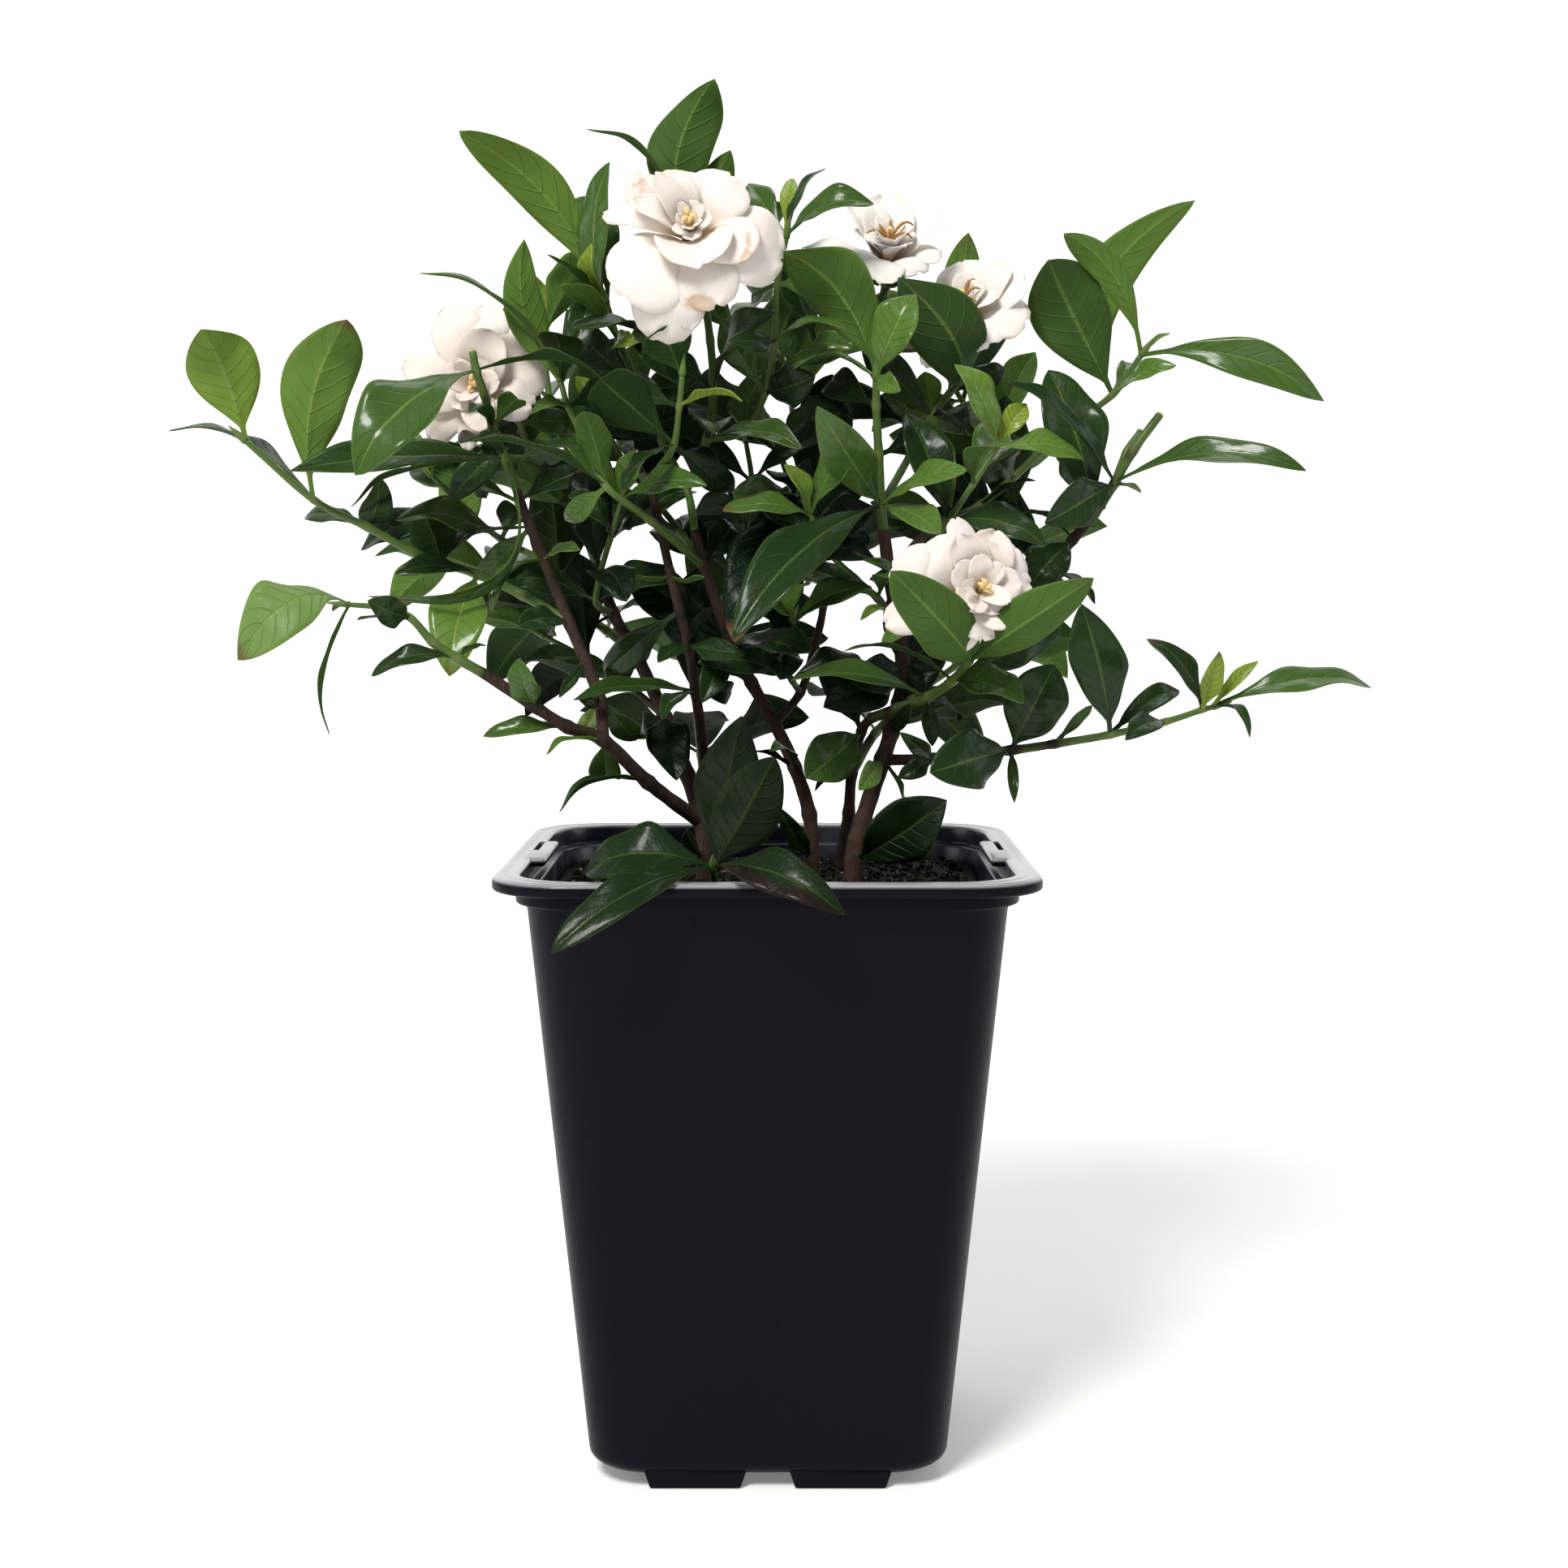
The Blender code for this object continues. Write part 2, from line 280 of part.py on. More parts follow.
# Shoots whose leaves stand in crossed pairs at the points of the path. Their leaves are given as (size, way).
TWIGS = [
    Shoot("back_left_top", "trunk_left", 7, 0.3, (2.3, 1.4),
          [(-68, 44, 322), (-72, 55, 341), (-80, 60, 363), (-83, 64, 386)], (0.97, "B")),
    Shoot("back_left_low", "trunk_left", 5, 0.4, (2.2, 1.3),
          [(-58, 32, 280), (-76, 46, 290), (-96, 58, 298), (-114, 64, 308)], (1.0, "B")),
    Shoot("back_middle_low", "stem_centre", 2, 0.5, (2.2, 1.3),
          [(-24, 24, 236), (-26, 42, 250), (-24, 56, 262), (-20, 66, 276)], (1.0, "B")),
    Shoot("back_right_low", "trunk_back_right", 3, 0.5, (2.2, 1.3),
          [(38, 26, 244), (52, 42, 256), (68, 56, 266), (84, 64, 278)], (1.0, "B")),
    Shoot("back_middle", "stem_middle_right", 3, 0.3, (1.7, 1.2),
          [(18, 34, 304), (14, 48, 322), (10, 58, 342), (8, 62, 362)], (1.0, "B")),
    Shoot("back_right", "branch_right_up", 2, 0.4, (1.8, 1.2),
          [(84, 34, 304), (86, 48, 318), (86, 58, 332), (82, 64, 348)], (0.9, "B")),
    Shoot("back_centre_top", "stem_middle_right", 4, 0.1, (1.5, 1.1),
          [(4, 22, 342), (-4, 34, 362), (-12, 40, 384), (-18, 42, 404)], (0.9, "B")),
    Shoot("back_right_top", "branch_right_top", 3, 0.2, (1.5, 1.1),
          [(80, 42, 346), (70, 52, 362), (60, 58, 380)], (0.9, "B")),
    Shoot("twig_left", "trunk_left", 6, 0.5, (1.6, 1.1),
          [(-60, 14, 290), (-58, 4, 300), (-54, -2, 312), (-50, -2, 325)], (0.75, "F")),
    Shoot("twig_far_left", "stem_left_rise", 4, 0.3, (1.6, 1.1),
          [(-92, 6, 312), (-104, 10, 322), (-116, 8, 334)], (0.8, "F")),
    Shoot("twig_left_middle", "stem_left_rise", 5, 0.2, (1.5, 1.0),
          [(-87, 12, 325), (-89, 21, 336), (-92, 28, 346)], (0.8, "F")),
    Shoot("twig_left_low", "trunk_left", 4, 0.6, (1.7, 1.1),
          [(-50, 14, 262), (-64, 24, 270), (-80, 30, 278)], (0.75, "B")),
    Shoot("twig_centre_left", "trunk_middle", 8, 0.3, (1.6, 1.1),
          [(-30, 8, 314), (-40, 20, 326), (-50, 28, 338), (-58, 30, 352)], (0.85, "B")),
    Shoot("twig_centre", "trunk_middle", 7, 0.4, (1.6, 1.1),
          [(-12, 12, 300), (-8, 18, 316), (-6, 18, 332), (-8, 24, 346)], (0.8, "F")),
    Shoot("twig_flower_top", "shoot_flower_top", 2, 0.1, (1.3, 1.0),
          [(-30, 12, 368), (-38, 8, 380), (-42, 4, 394)], (0.7, "F")),
    Shoot("twig_top_middle", "shoot_top_middle", 2, 0.1, (1.3, 1.0),
          [(8, 14, 368), (16, 16, 380), (24, 14, 392)], (0.7, "F")),
    Shoot("twig_low_middle", "stem_middle_right", 1, 0.6, (1.5, 1.0),
          [(8, -2, 264), (4, -12, 272), (8, -18, 284)], (0.7, "F")),
    Shoot("twig_right", "trunk_right", 7, 0.5, (1.7, 1.1),
          [(37, -10, 292), (29, -18, 299), (20, -22, 308), (14, -22, 320)], (0.75, "F")),
    Shoot("twig_right_up", "trunk_right", 8, 0.4, (1.6, 1.1),
          [(52, -14, 308), (60, -20, 318), (68, -22, 330), (76, -20, 342)], (0.75, "F")),
    Shoot("twig_right_low", "branch_right_up", 1, 0.5, (1.6, 1.1),
          [(68, 26, 286), (70, 36, 298), (68, 44, 312)], (0.85, "B")),
]
PAIR_LENGTHS = (46, 52, 43, 49)
PAIR_SHAPE = 0.42
END_LEAF = (24, 9)

# Moves that a leaf may make to keep clear of its neighbours: along Y in millimetres, and a turn of its blade
LEAF_MOVES = sorted(
    [(push, roll) for push in (0, -5, 5, -10, 10, -16, 16, -24, 24) for roll in (0, 14, -14, 28, -28)],
    key=lambda move: abs(move[0]) + abs(move[1]) * 0.5,
)
WAYS = {"U": Vector((0, 0, 1)), "D": Vector((0, 0, -1)), "L": Vector((-1, 0, 0)), "R": Vector((1, 0, 0)),
        "F": Vector((0, -1, 0)), "B": Vector((0, 1, 0))}


def clear_scene():
    for item in list(bpy.data.objects):
        bpy.data.objects.remove(item, do_unlink=True)


def new_collection(name, parent=None):
    collection = bpy.data.collections.new(name)
    (parent or bpy.context.scene.collection).children.link(collection)
    return collection


def new_material(name, colour, roughness, metallic=0.0):
    material = bpy.data.materials.new(name)
    material.use_nodes = True
    shader = material.node_tree.nodes["Principled BSDF"]
    shader.inputs["Base Color"].default_value = (*colour, 1.0)
    shader.inputs["Roughness"].default_value = roughness
    shader.inputs["Metallic"].default_value = metallic
    return material


def add_object(name, mesh, collection, material=None):
    item = bpy.data.objects.new(name, mesh)
    collection.objects.link(item)
    if material:
        mesh.materials.append(material)
    return item


def make_helper(item):
    item.hide_render = True
    item.display_type = "WIRE"
    return item


def add_boolean(item, operation, operand, solver="EXACT"):
    modifier = item.modifiers.new(operation.lower(), "BOOLEAN")
    modifier.operation = operation
    modifier.solver = solver
    if isinstance(operand, bpy.types.Collection):
        modifier.operand_type = "COLLECTION"
        modifier.collection = operand
    else:
        modifier.object = operand


def mesh_from_sections(name, sections):
    """A closed solid lofted through sections of equal point count. It ends in a point if the last has one."""
    mesh = bpy.data.meshes.new(name)
    shape = bmesh.new()
    rings = [[shape.verts.new(Vector(point) * MM) for point in section] for section in sections]
    for lower, upper in zip(rings, rings[1:]):
        count = len(lower)
        for i in range(count):
            j = (i + 1) % count
            if len(upper) == 1:
                shape.faces.new((lower[i], lower[j], upper[0]))
            else:
                shape.faces.new((lower[i], lower[j], upper[j], upper[i]))
    shape.faces.new(reversed(rings[0]))
    if len(rings[-1]) > 1:
        shape.faces.new(rings[-1])
    bmesh.ops.recalc_face_normals(shape, faces=shape.faces)
    shape.to_mesh(mesh)
    shape.free()
    return mesh


def box_object(name, centre, size, bevel, collection):
    """A block with its edges beveled, as a helper for a Boolean."""
    mesh = bpy.data.meshes.new(name)
    shape = bmesh.new()
    bmesh.ops.create_cube(shape, size=1.0)
    bmesh.ops.scale(shape, vec=Vector(size) * MM, verts=shape.verts)
    if bevel:
        bmesh.ops.bevel(shape, geom=shape.edges, offset=bevel * MM, segments=1, affect="EDGES")
    bmesh.ops.translate(shape, vec=Vector(centre) * MM, verts=shape.verts)
    shape.to_mesh(mesh)
    shape.free()
    return make_helper(add_object(name, mesh, collection))


def cylinder_object(name, centre, radius, depth, collection):
    mesh = bpy.data.meshes.new(name)
    shape = bmesh.new()
    bmesh.ops.create_cone(
        shape, cap_ends=True, segments=12, radius1=radius * MM, radius2=radius * MM, depth=depth * MM,
        matrix=Matrix.Translation(Vector(centre) * MM),
    )
    shape.to_mesh(mesh)
    shape.free()
    return make_helper(add_object(name, mesh, collection))


def rounded_square(half, corner, height):
    """The points of a square of half side half with round corners, anticlockwise from above."""
    points = []
    for quarter in range(4):
        middle = math.radians(45 + 90 * quarter)
        centre = Vector((math.cos(middle), math.sin(middle))) * (half - corner) * math.sqrt(2)
        for step in range(CORNER_STEPS + 1):
            angle = math.radians(90 * quarter + 90 * step / CORNER_STEPS)
            points.append((centre.x + corner * math.cos(angle), centre.y + corner * math.sin(angle), height))
    return points


def wall_half(height):
    """Half the outer width of the tapered wall at a height."""
    share = (height - FOOT_HEIGHT) / (RIM_HEIGHT - RIM_DROP - COLLAR_DROP - FOOT_HEIGHT)
    return BASE_HALF + (WALL_TOP_HALF - BASE_HALF) * share


def corner_radius(half):
    return half * 0.29


def build_pot(parts, cutters):
    """The shell is one loft that runs up the outside, over the rolled rim and down the inside."""
    collar_top = RIM_HEIGHT - RIM_DROP
    collar_foot = collar_top - COLLAR_DROP
    inner_collar = COLLAR_HALF - WALL
    inner_rim = RIM_HALF - FLANGE
    profile = [
        (BASE_HALF - 7, FOOT_HEIGHT), (BASE_HALF - 2, FOOT_HEIGHT + 1.2),
        (wall_half(FOOT_HEIGHT + 5), FOOT_HEIGHT + 5),
        (WALL_TOP_HALF, collar_foot), (COLLAR_HALF, collar_foot + 0.8), (COLLAR_HALF, collar_top),
        (RIM_HALF - RIM_EDGE, collar_top), (RIM_HALF, collar_top + RIM_EDGE),
        (RIM_HALF, RIM_HEIGHT - RIM_EDGE),
        (RIM_HALF - RIM_EDGE, RIM_HEIGHT), (inner_rim, RIM_HEIGHT), (inner_collar, RIM_HEIGHT - 1.0),
        (inner_collar, collar_foot + 2.2), (WALL_TOP_HALF - WALL, collar_foot + 1.2),
        (wall_half(FLOOR_TOP + 5) - WALL, FLOOR_TOP + 5), (BASE_HALF - 6, FLOOR_TOP),
    ]
    rings = [rounded_square(half, corner_radius(half), height) for half, height in profile]
    pot = add_object("pot", mesh_from_sections("pot", rings), parts, new_material("pot", POT_COLOUR, 0.35))

    added = new_collection("pot_additions", cutters)
    foot_middle = BASE_HALF - 2.5 - FOOT_DEPTH / 2
    foot_top = FLOOR_TOP - 0.6
    for turn in range(4):
        for side in (-1, 1):
            foot = box_object(
                f"foot_{turn}_{side}", (side * FOOT_SPLAY, -foot_middle, foot_top / 2),
                (FOOT_LENGTH, FOOT_DEPTH, foot_top), 1.2, added,
            )
            foot.matrix_world = Matrix.Rotation(math.pi / 2 * turn, 4, "Z")
    for side in (-1, 1):
        box_object(
            f"rim_tab_{side}", (side * (inner_rim - 1.0), TAB_PLACE, RIM_HEIGHT - 0.6),
            (8.0, TAB_LENGTH, 3.0), 0.5, added,
        )
    panel_height = collar_foot + 0.4 - LABEL_PANEL[2] / 2
    box_object("wall_panel", (0, -wall_half(panel_height) + 0.1, panel_height), LABEL_PANEL, 0.25, added)
    add_boolean(pot, "UNION", added)

    cut = new_collection("pot_cuts", cutters)
    for i, (x, y) in enumerate(DRAIN_PLACES):
        cylinder_object(f"drain_{i}", (x, y, FOOT_HEIGHT), DRAIN_RADIUS, 4 * FOOT_HEIGHT, cut)
    for side in (-1, 1):
        box_object(
            f"rim_slot_{side}", (side * (inner_rim + 0.8), TAB_PLACE + SLOT[1], RIM_HEIGHT),
            (1.6, SLOT[0], 2.0), 0, cut,
        )
    add_boolean(pot, "DIFFERENCE", cut)
    return pot


def build_soil(parts):
    """The soil fills the pot a hair's breadth from the plastic, with a low dome on top."""
    lower = FLOOR_TOP + 6
    inset = WALL + GAP
    profile = [
        (BASE_HALF - 8, FLOOR_TOP + GAP), (wall_half(lower) - inset - 0.2, lower),
        (wall_half(SOIL_EDGE) - inset - 0.1, SOIL_EDGE), *SOIL_DOME,
    ]
    rings = [rounded_square(half, corner_radius(half), height) for half, height in profile]
    material = new_material("soil", SOIL_COLOUR, 0.95)
    return add_object("soil", mesh_from_sections("soil", rings), parts, material)


def taper(radii, count):
    """Radii at a number of points that run evenly from the first to the last."""
    return [radii[0] + (radii[1] - radii[0]) * i / (count - 1) for i in range(count)]


def tube_object(name, path, radii, collection, ends=0.0):
    """A closed tube along a path with a radius for each of its points. ends lengthens it at both ends."""
    path = list(path)
    path[0] = path[0] + (path[0] - path[1]).normalized() * ends
    path[-1] = path[-1] + (path[-1] - path[-2]).normalized() * ends
    curve = bpy.data.curves.new(name, "CURVE")
    curve.dimensions = "3D"
    curve.bevel_depth = 1.0
    curve.bevel_resolution = 1
    curve.use_fill_caps = True
    spline = curve.splines.new("POLY")
    spline.points.add(len(path) - 1)
    for point, place, radius in zip(spline.points, path, radii):
        point.co = (*(place * MM), 1.0)
        point.radius = radius * MM
    guide = bpy.data.objects.new(name, curve)
    collection.objects.link(guide)
    bpy.context.view_layer.update()
    mesh = bpy.data.meshes.new_from_object(guide.evaluated_get(bpy.context.evaluated_depsgraph_get()))
    bpy.data.objects.remove(guide, do_unlink=True)
    shape = bmesh.new()
    shape.from_mesh(mesh)
    bmesh.ops.remove_doubles(shape, verts=shape.verts, dist=1e-6)
    bmesh.ops.recalc_face_normals(shape, faces=shape.faces)
    shape.to_mesh(mesh)
    shape.free()
    mesh.name = name
    mesh.materials.clear()
    return add_object(name, mesh, collection)


def leaf_outline(t):
    """Share of the half width at t along a leaf: a thin stalk, then an egg shape that ends in a point."""
    u = max(0.0, (t - PETIOLE) / (1 - PETIOLE))
    return u**0.9 * (1 - u) ** 0.62 / 0.358


def blade_axes(base, tip, ways, roll):
    """Length direction, upward normal and side of a blade that looks the given ways as far as it can."""
    along = tip - base
    up = sum((WAYS[way] for way in ways), Vector())
    up -= along * up.dot(along) / along.length_squared
    if up.length < 0.1:
        up = along.cross(Vector((0, 1, 0)))
    up = Matrix.Rotation(math.radians(roll), 3, along) @ up.normalized()
    return along, up, along.normalized().cross(up)


def leaf_sections(base, tip, leaf, roll, thick, rows):
    """Four-point sections of a leaf: two edges, and a midrib that bulges by half the thickness both ways."""
    _node, _tip, width, ways, arch, fold, _tone, sway = leaf
    along, up, side = blade_axes(base, tip, ways, roll)
    sections = []
    for t in rows:
        middle = base + along * t + (up * arch + side * sway) * 4 * t * (1 - t)
        half = max(0.5 * width * leaf_outline(t), 0.6)
        if t == 1.0:
            sections.append([middle])
            continue
        edge = up * half * math.sin(math.radians(fold))
        reach = side * half * math.cos(math.radians(fold))
        bulge = up * thick / 2
        sections.append([middle + reach + edge, middle + bulge, middle - reach + edge, middle - bulge])
    return sections


def petal_sections(flower, petal, thick):
    """Four-point sections of a petal that leaves the flower's throat along its axis and then spreads."""
    angle, reach, lift, width = petal
    axis = Vector(flower.axis).normalized()
    up = (Vector((0, 0, 1)) - axis * axis.z).normalized()
    right = up.cross(axis)
    outward = up * math.cos(math.radians(angle)) + right * math.sin(math.radians(angle))
    centre = Vector(flower.centre)
    base = centre - axis * (THROAT - 2.5) + outward * 1.2
    bend = centre - axis * 3 + outward * reach * 0.3
    tip = centre + outward * reach + axis * lift
    side = axis.cross(outward)
    sections = []
    for t, share in ((0.0, 0.12), (0.4, 0.7), (0.75, 1.0), (1.0, 0.45)):
        middle = base * (1 - t) ** 2 + bend * 2 * t * (1 - t) + tip * t**2
        tangent = ((bend - base) * (1 - t) + (tip - bend) * t).normalized()
        normal = tangent.cross(side).normalized()
        if normal.dot(axis - outward) < 0:
            normal = -normal
        half = 0.5 * width * share
        edge = normal * half * 0.22
        bulge = normal * thick / 2
        reach = side * half
        sections.append([middle + reach + edge, middle + bulge, middle - reach + edge, middle - bulge])
    return sections


def signed_volume(faces):
    """Six times the volume that a closed set of faces holds, negative where the faces look inwards."""
    total = 0.0
    for face in faces:
        first, *rest = (loop.vert.co for loop in face.loops)
        total += sum(first.dot(b.cross(c)) for b, c in zip(rest, rest[1:]))
    return total


def settle(item, helpers):
    """Keeps a part's joined shape without sealed hollows or loose crumbs, and clears its helpers away."""
    bpy.context.view_layer.update()
    mesh = bpy.data.meshes.new_from_object(item.evaluated_get(bpy.context.evaluated_depsgraph_get()))
    mesh.name = item.name
    shape = bmesh.new()
    shape.from_mesh(mesh)
    bodies, seen = [], set()
    for face in shape.faces:
        if face in seen:
            continue
        body, edge = {face}, [face]
        while edge:
            for side in edge.pop().edges:
                for neighbour in side.link_faces:
                    if len(side.link_faces) == 2 and neighbour not in body:
                        body.add(neighbour)
                        edge.append(neighbour)
        seen |= body
        bodies.append(body)
    largest = max(bodies, key=signed_volume)
    bmesh.ops.delete(shape, geom=[face for face in shape.faces if face not in largest], context="FACES")
    shape.to_mesh(mesh)
    shape.free()
    item.modifiers.clear()
    item.data = mesh
    for helper in list(helpers):
        bpy.data.objects.remove(helper, do_unlink=True)


def tree_of(mesh):
    """A search tree over a mesh's faces."""
    return BVHTree.FromPolygons([v.co[:] for v in mesh.vertices], [p.vertices[:] for p in mesh.polygons])


def shoot_points(shoot, shoots):
    """The shoot's own points, the first of them on its parent."""
    points = [Vector(point) for point in shoot.path]
    if not shoot.parent:
        points[0].z -= ROOTED_DEPTH
        return points
    parent = shoots[shoot.parent]
    return [shoot_points(parent, shoots)[shoot.joint], *points]


def paired_leaves(points, size, way):
    """Leaves in crossed pairs along a path, with a young one at its end."""
    leaves = []
    for i in range(1, len(points)):
        along = (points[min(i + 1, len(points) - 1)] - points[i - 1]).normalized()
        level = along.cross(WAYS["U"]).normalized()
        pair = level if i % 2 else level.cross(along)
        last = i == len(points) - 1
        for side in (1, -1):
            length = size * PAIR_LENGTHS[(2 * i + side) % len(PAIR_LENGTHS)] * (0.8 if last else 1.0)
            out = (pair * side + along * 0.55 + WAYS[way] * 0.2).normalized()
            tip = points[i] + out * length
            tone = 2 if last else i % 2
            leaves.append(Leaf(i, tuple(tip), round(length * PAIR_SHAPE), "U" + way, 4, 8, tone))
    along = (points[-1] - points[-2]).normalized()
    tip = points[-1] + along * END_LEAF[0] * size
    leaves.append(Leaf(len(points) - 1, tuple(tip), END_LEAF[1], "U" + way, 2, 12, 3))
    return leaves


def all_shoots():
    """Every shoot by its name, each with its leaves."""
    shoots = {shoot.name: shoot._replace(leaves=[Leaf(*row) for row in shoot.leaves]) for shoot in SHOOTS}
    for shoot in TWIGS:
        shoots[shoot.name] = shoot
    for shoot in TWIGS:
        leaves = paired_leaves(shoot_points(shoot, shoots), *shoot.leaves)
        shoots[shoot.name] = shoot._replace(leaves=leaves)
    return shoots


class Thicket:
    """What stands in the way of a new leaf: every solid placed so far, by the shoot it belongs to."""

    def __init__(self):
        self.solids = []

    def add(self, owner, mesh):
        self.solids.append((owner, tree_of(mesh)))

    def is_free(self, owner, whole, blade):
        """A leaf may meet its own shoot at its stalk, and nothing else."""
        for other, tree in self.solids:
            if (blade if other == owner else whole).overlap(tree):
                return False
        return True


def place_leaf(shoot, points, leaf, thicket):
    """The first of the leaf's moves that keeps it clear, or None if all are taken."""
    base, tip = points[leaf.node], Vector(leaf.tip)
    skin = taper(shoot.radii, len(points))[leaf.node] * STEM_FLATS / (tip - base).length
    outside = (min(skin, 0.4), max(min(skin + 0.05, 0.42), 0.2), 0.5, 0.8, 1.0)
    for push, roll in LEAF_MOVES:
        place = (base, tip + Vector((0, push, 0)), leaf, roll)
        whole = mesh_from_sections("try", leaf_sections(*place, LEAF_THICK + 1.0, outside))
        blade = mesh_from_sections("try", leaf_sections(*place, LEAF_THICK + 1.0, (0.25, 0.5, 0.8, 1.0)))
        free = thicket.is_free(shoot.name, tree_of(whole), tree_of(blade))
        bpy.data.meshes.remove(whole)
        bpy.data.meshes.remove(blade)
        if free:
            return place
    return None


def build_flower(flower, shoots, parts, cutters, thicket, clearances):
    """A green neck on the end of the shoot, joined to its petals."""
    parent = shoots[flower.parent]
    start = shoot_points(parent, shoots)[-1]
    axis = Vector(flower.axis).normalized()
    throat = Vector(flower.centre) - axis * THROAT
    spine = [start, throat, *(throat + axis * rise for rise, _ in HEART)]
    neck = tube_object(flower.name, spine, [parent.radii[1], 2.6, *(radius for _, radius in HEART)], parts)
    neck.data.materials.append(new_material(flower.name, PETAL_COLOUR, 0.55))
    thicket.add(flower.name, neck.data)
    petals = new_collection(f"petals_of_{flower.name}", cutters)
    for i, petal in enumerate(flower.petals):
        sections = petal_sections(flower, petal, PETAL_THICK)
        make_helper(add_object(f"petal_{i:02}_{flower.name}", mesh_from_sections("petal", sections), petals))
        thicket.add(flower.name, petals.objects[-1].data)
        add_boolean(neck, "UNION", petals.objects[-1], "MANIFOLD")
    add_boolean(neck, "DIFFERENCE", clearances[flower.parent], "MANIFOLD")
    settle(neck, petals.objects)


def build_plant(parts, cutters, thicket):
    shoots = all_shoots()
    clearances, stems = {}, {}
    sockets = new_collection("sockets", cutters)
    for shoot in shoots.values():
        path = shoot_points(shoot, shoots)
        radii = taper(shoot.radii, len(path))
        stems[shoot.name] = tube_object(shoot.name, path, radii, parts)
        thicket.add(shoot.name, stems[shoot.name].data)
        wider = [radius + GAP for radius in radii]
        clearance = tube_object(f"{shoot.name}_clearance", path, wider, cutters, ends=GAP)
        clearances[shoot.name] = make_helper(clearance)
        if not shoot.parent:
            make_helper(tube_object(f"{shoot.name}_socket", path, wider, sockets, ends=GAP))
    for flower in FLOWERS:
        build_flower(flower, shoots, parts, cutters, thicket, clearances)
    for shoot in shoots.values():
        leaves = new_collection(f"leaves_of_{shoot.name}", cutters)
        points = shoot_points(shoot, shoots)
        for i, leaf in enumerate(shoot.leaves):
            place = place_leaf(shoot, points, leaf, thicket)
            if place:
                rows = NARROW_ROWS if leaf.width < NARROW else LEAF_ROWS
                mesh = mesh_from_sections("leaf", leaf_sections(*place, LEAF_THICK, rows))
                make_helper(add_object(f"leaf_{i:02}_{shoot.name}", mesh, leaves))
                thicket.add(shoot.name, mesh)
        stem = stems[shoot.name]
        tones = [leaf.tone for leaf in shoot.leaves]
        colour = LEAF_COLOURS[max(set(tones), key=tones.count)] if tones else BARK_COLOUR
        stem.data.materials.append(new_material(shoot.name, colour, 0.4))
        if shoot.leaves:
            add_boolean(stem, "UNION", leaves)
        if shoot.parent:
            add_boolean(stem, "DIFFERENCE", clearances[shoot.parent])
        settle(stem, leaves.objects)
    for helper in clearances.values():
        bpy.data.objects.remove(helper, do_unlink=True)
    return sockets


def main():
    clear_scene()
    parts = new_collection("potted_gardenia")
    cutters = new_collection("cutters")
    thicket = Thicket()
    pot = build_pot(parts, cutters)
    soil = build_soil(parts)
    thicket.add(pot.name, pot.data)
    thicket.add(soil.name, soil.data)
    sockets = build_plant(parts, cutters, thicket)
    add_boolean(soil, "DIFFERENCE", sockets)
    for item in parts.objects:
        item.data.shade_smooth()
        item.data.set_sharp_from_angle(angle=SHARP_ANGLE)


main()
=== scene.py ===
"""The finish of a potted gardenia: glossy veined leaves, barked stems, waxy double flowers, a moulded pot and its soil.

Lengths in the tables and in the builders are in millimetres, and turn into metres when a mesh is made.
The viewer's side of the plant is -Y.
"""
import json
import math
import random
from collections import namedtuple

import bmesh
import bpy
import numpy as np
from bpy.props import FloatProperty, FloatVectorProperty, IntProperty, PointerProperty
from mathutils import Matrix, Vector
from mathutils.kdtree import KDTree

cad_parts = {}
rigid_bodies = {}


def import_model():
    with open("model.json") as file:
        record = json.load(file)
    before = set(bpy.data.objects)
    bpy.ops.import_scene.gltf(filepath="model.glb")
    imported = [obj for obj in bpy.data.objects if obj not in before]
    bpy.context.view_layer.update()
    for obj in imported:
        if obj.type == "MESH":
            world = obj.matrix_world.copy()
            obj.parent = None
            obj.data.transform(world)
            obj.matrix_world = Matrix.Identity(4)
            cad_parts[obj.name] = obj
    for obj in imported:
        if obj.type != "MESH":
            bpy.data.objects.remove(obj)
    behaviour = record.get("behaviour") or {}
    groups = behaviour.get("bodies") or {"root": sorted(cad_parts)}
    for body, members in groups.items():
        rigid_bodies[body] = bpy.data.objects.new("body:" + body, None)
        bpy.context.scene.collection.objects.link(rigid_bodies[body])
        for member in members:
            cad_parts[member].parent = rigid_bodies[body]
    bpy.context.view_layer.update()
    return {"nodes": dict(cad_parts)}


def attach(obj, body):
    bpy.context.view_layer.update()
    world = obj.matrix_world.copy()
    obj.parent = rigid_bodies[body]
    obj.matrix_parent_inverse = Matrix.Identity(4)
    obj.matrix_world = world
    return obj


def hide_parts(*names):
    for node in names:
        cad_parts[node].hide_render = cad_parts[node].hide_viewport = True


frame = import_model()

bl_info = {
    "name": "Potted Gardenia",
    "version": (1, 0, 0),
    "blender": (4, 5, 0),
    "location": "View3D > Sidebar > Gardenia",
    "description": "Builds a potted gardenia with its leaves, stems, flowers, soil and nursery pot",
    "category": "Object",
}

MM = 0.001
BODY = "root"

# Pot and soil, as they stand in the frame
RIM_HALF = 88.0
RIM_HEIGHT = 205.0
COLLAR_HALF = 81.0
COLLAR_TOP = 200.4
COLLAR_FOOT = 195.6
WALL_TOP_HALF = 77.8
BASE_HALF = 59.5
FOOT_HEIGHT = 4.5
FLANGE = 8.0
WALL = 1.6
CORNER_SHARE = 0.29
TAB_LENGTH = 50.0
TAB_PLACE = 2.0
# Length of a tab's slot, and how far it stands behind the tab's middle
SLOT = (24.0, 10.0)
# The bottom of the pot, from above and from below
FLOOR_TOP = 6.4
FLOOR_UNDERSIDE = FOOT_HEIGHT + 1.2
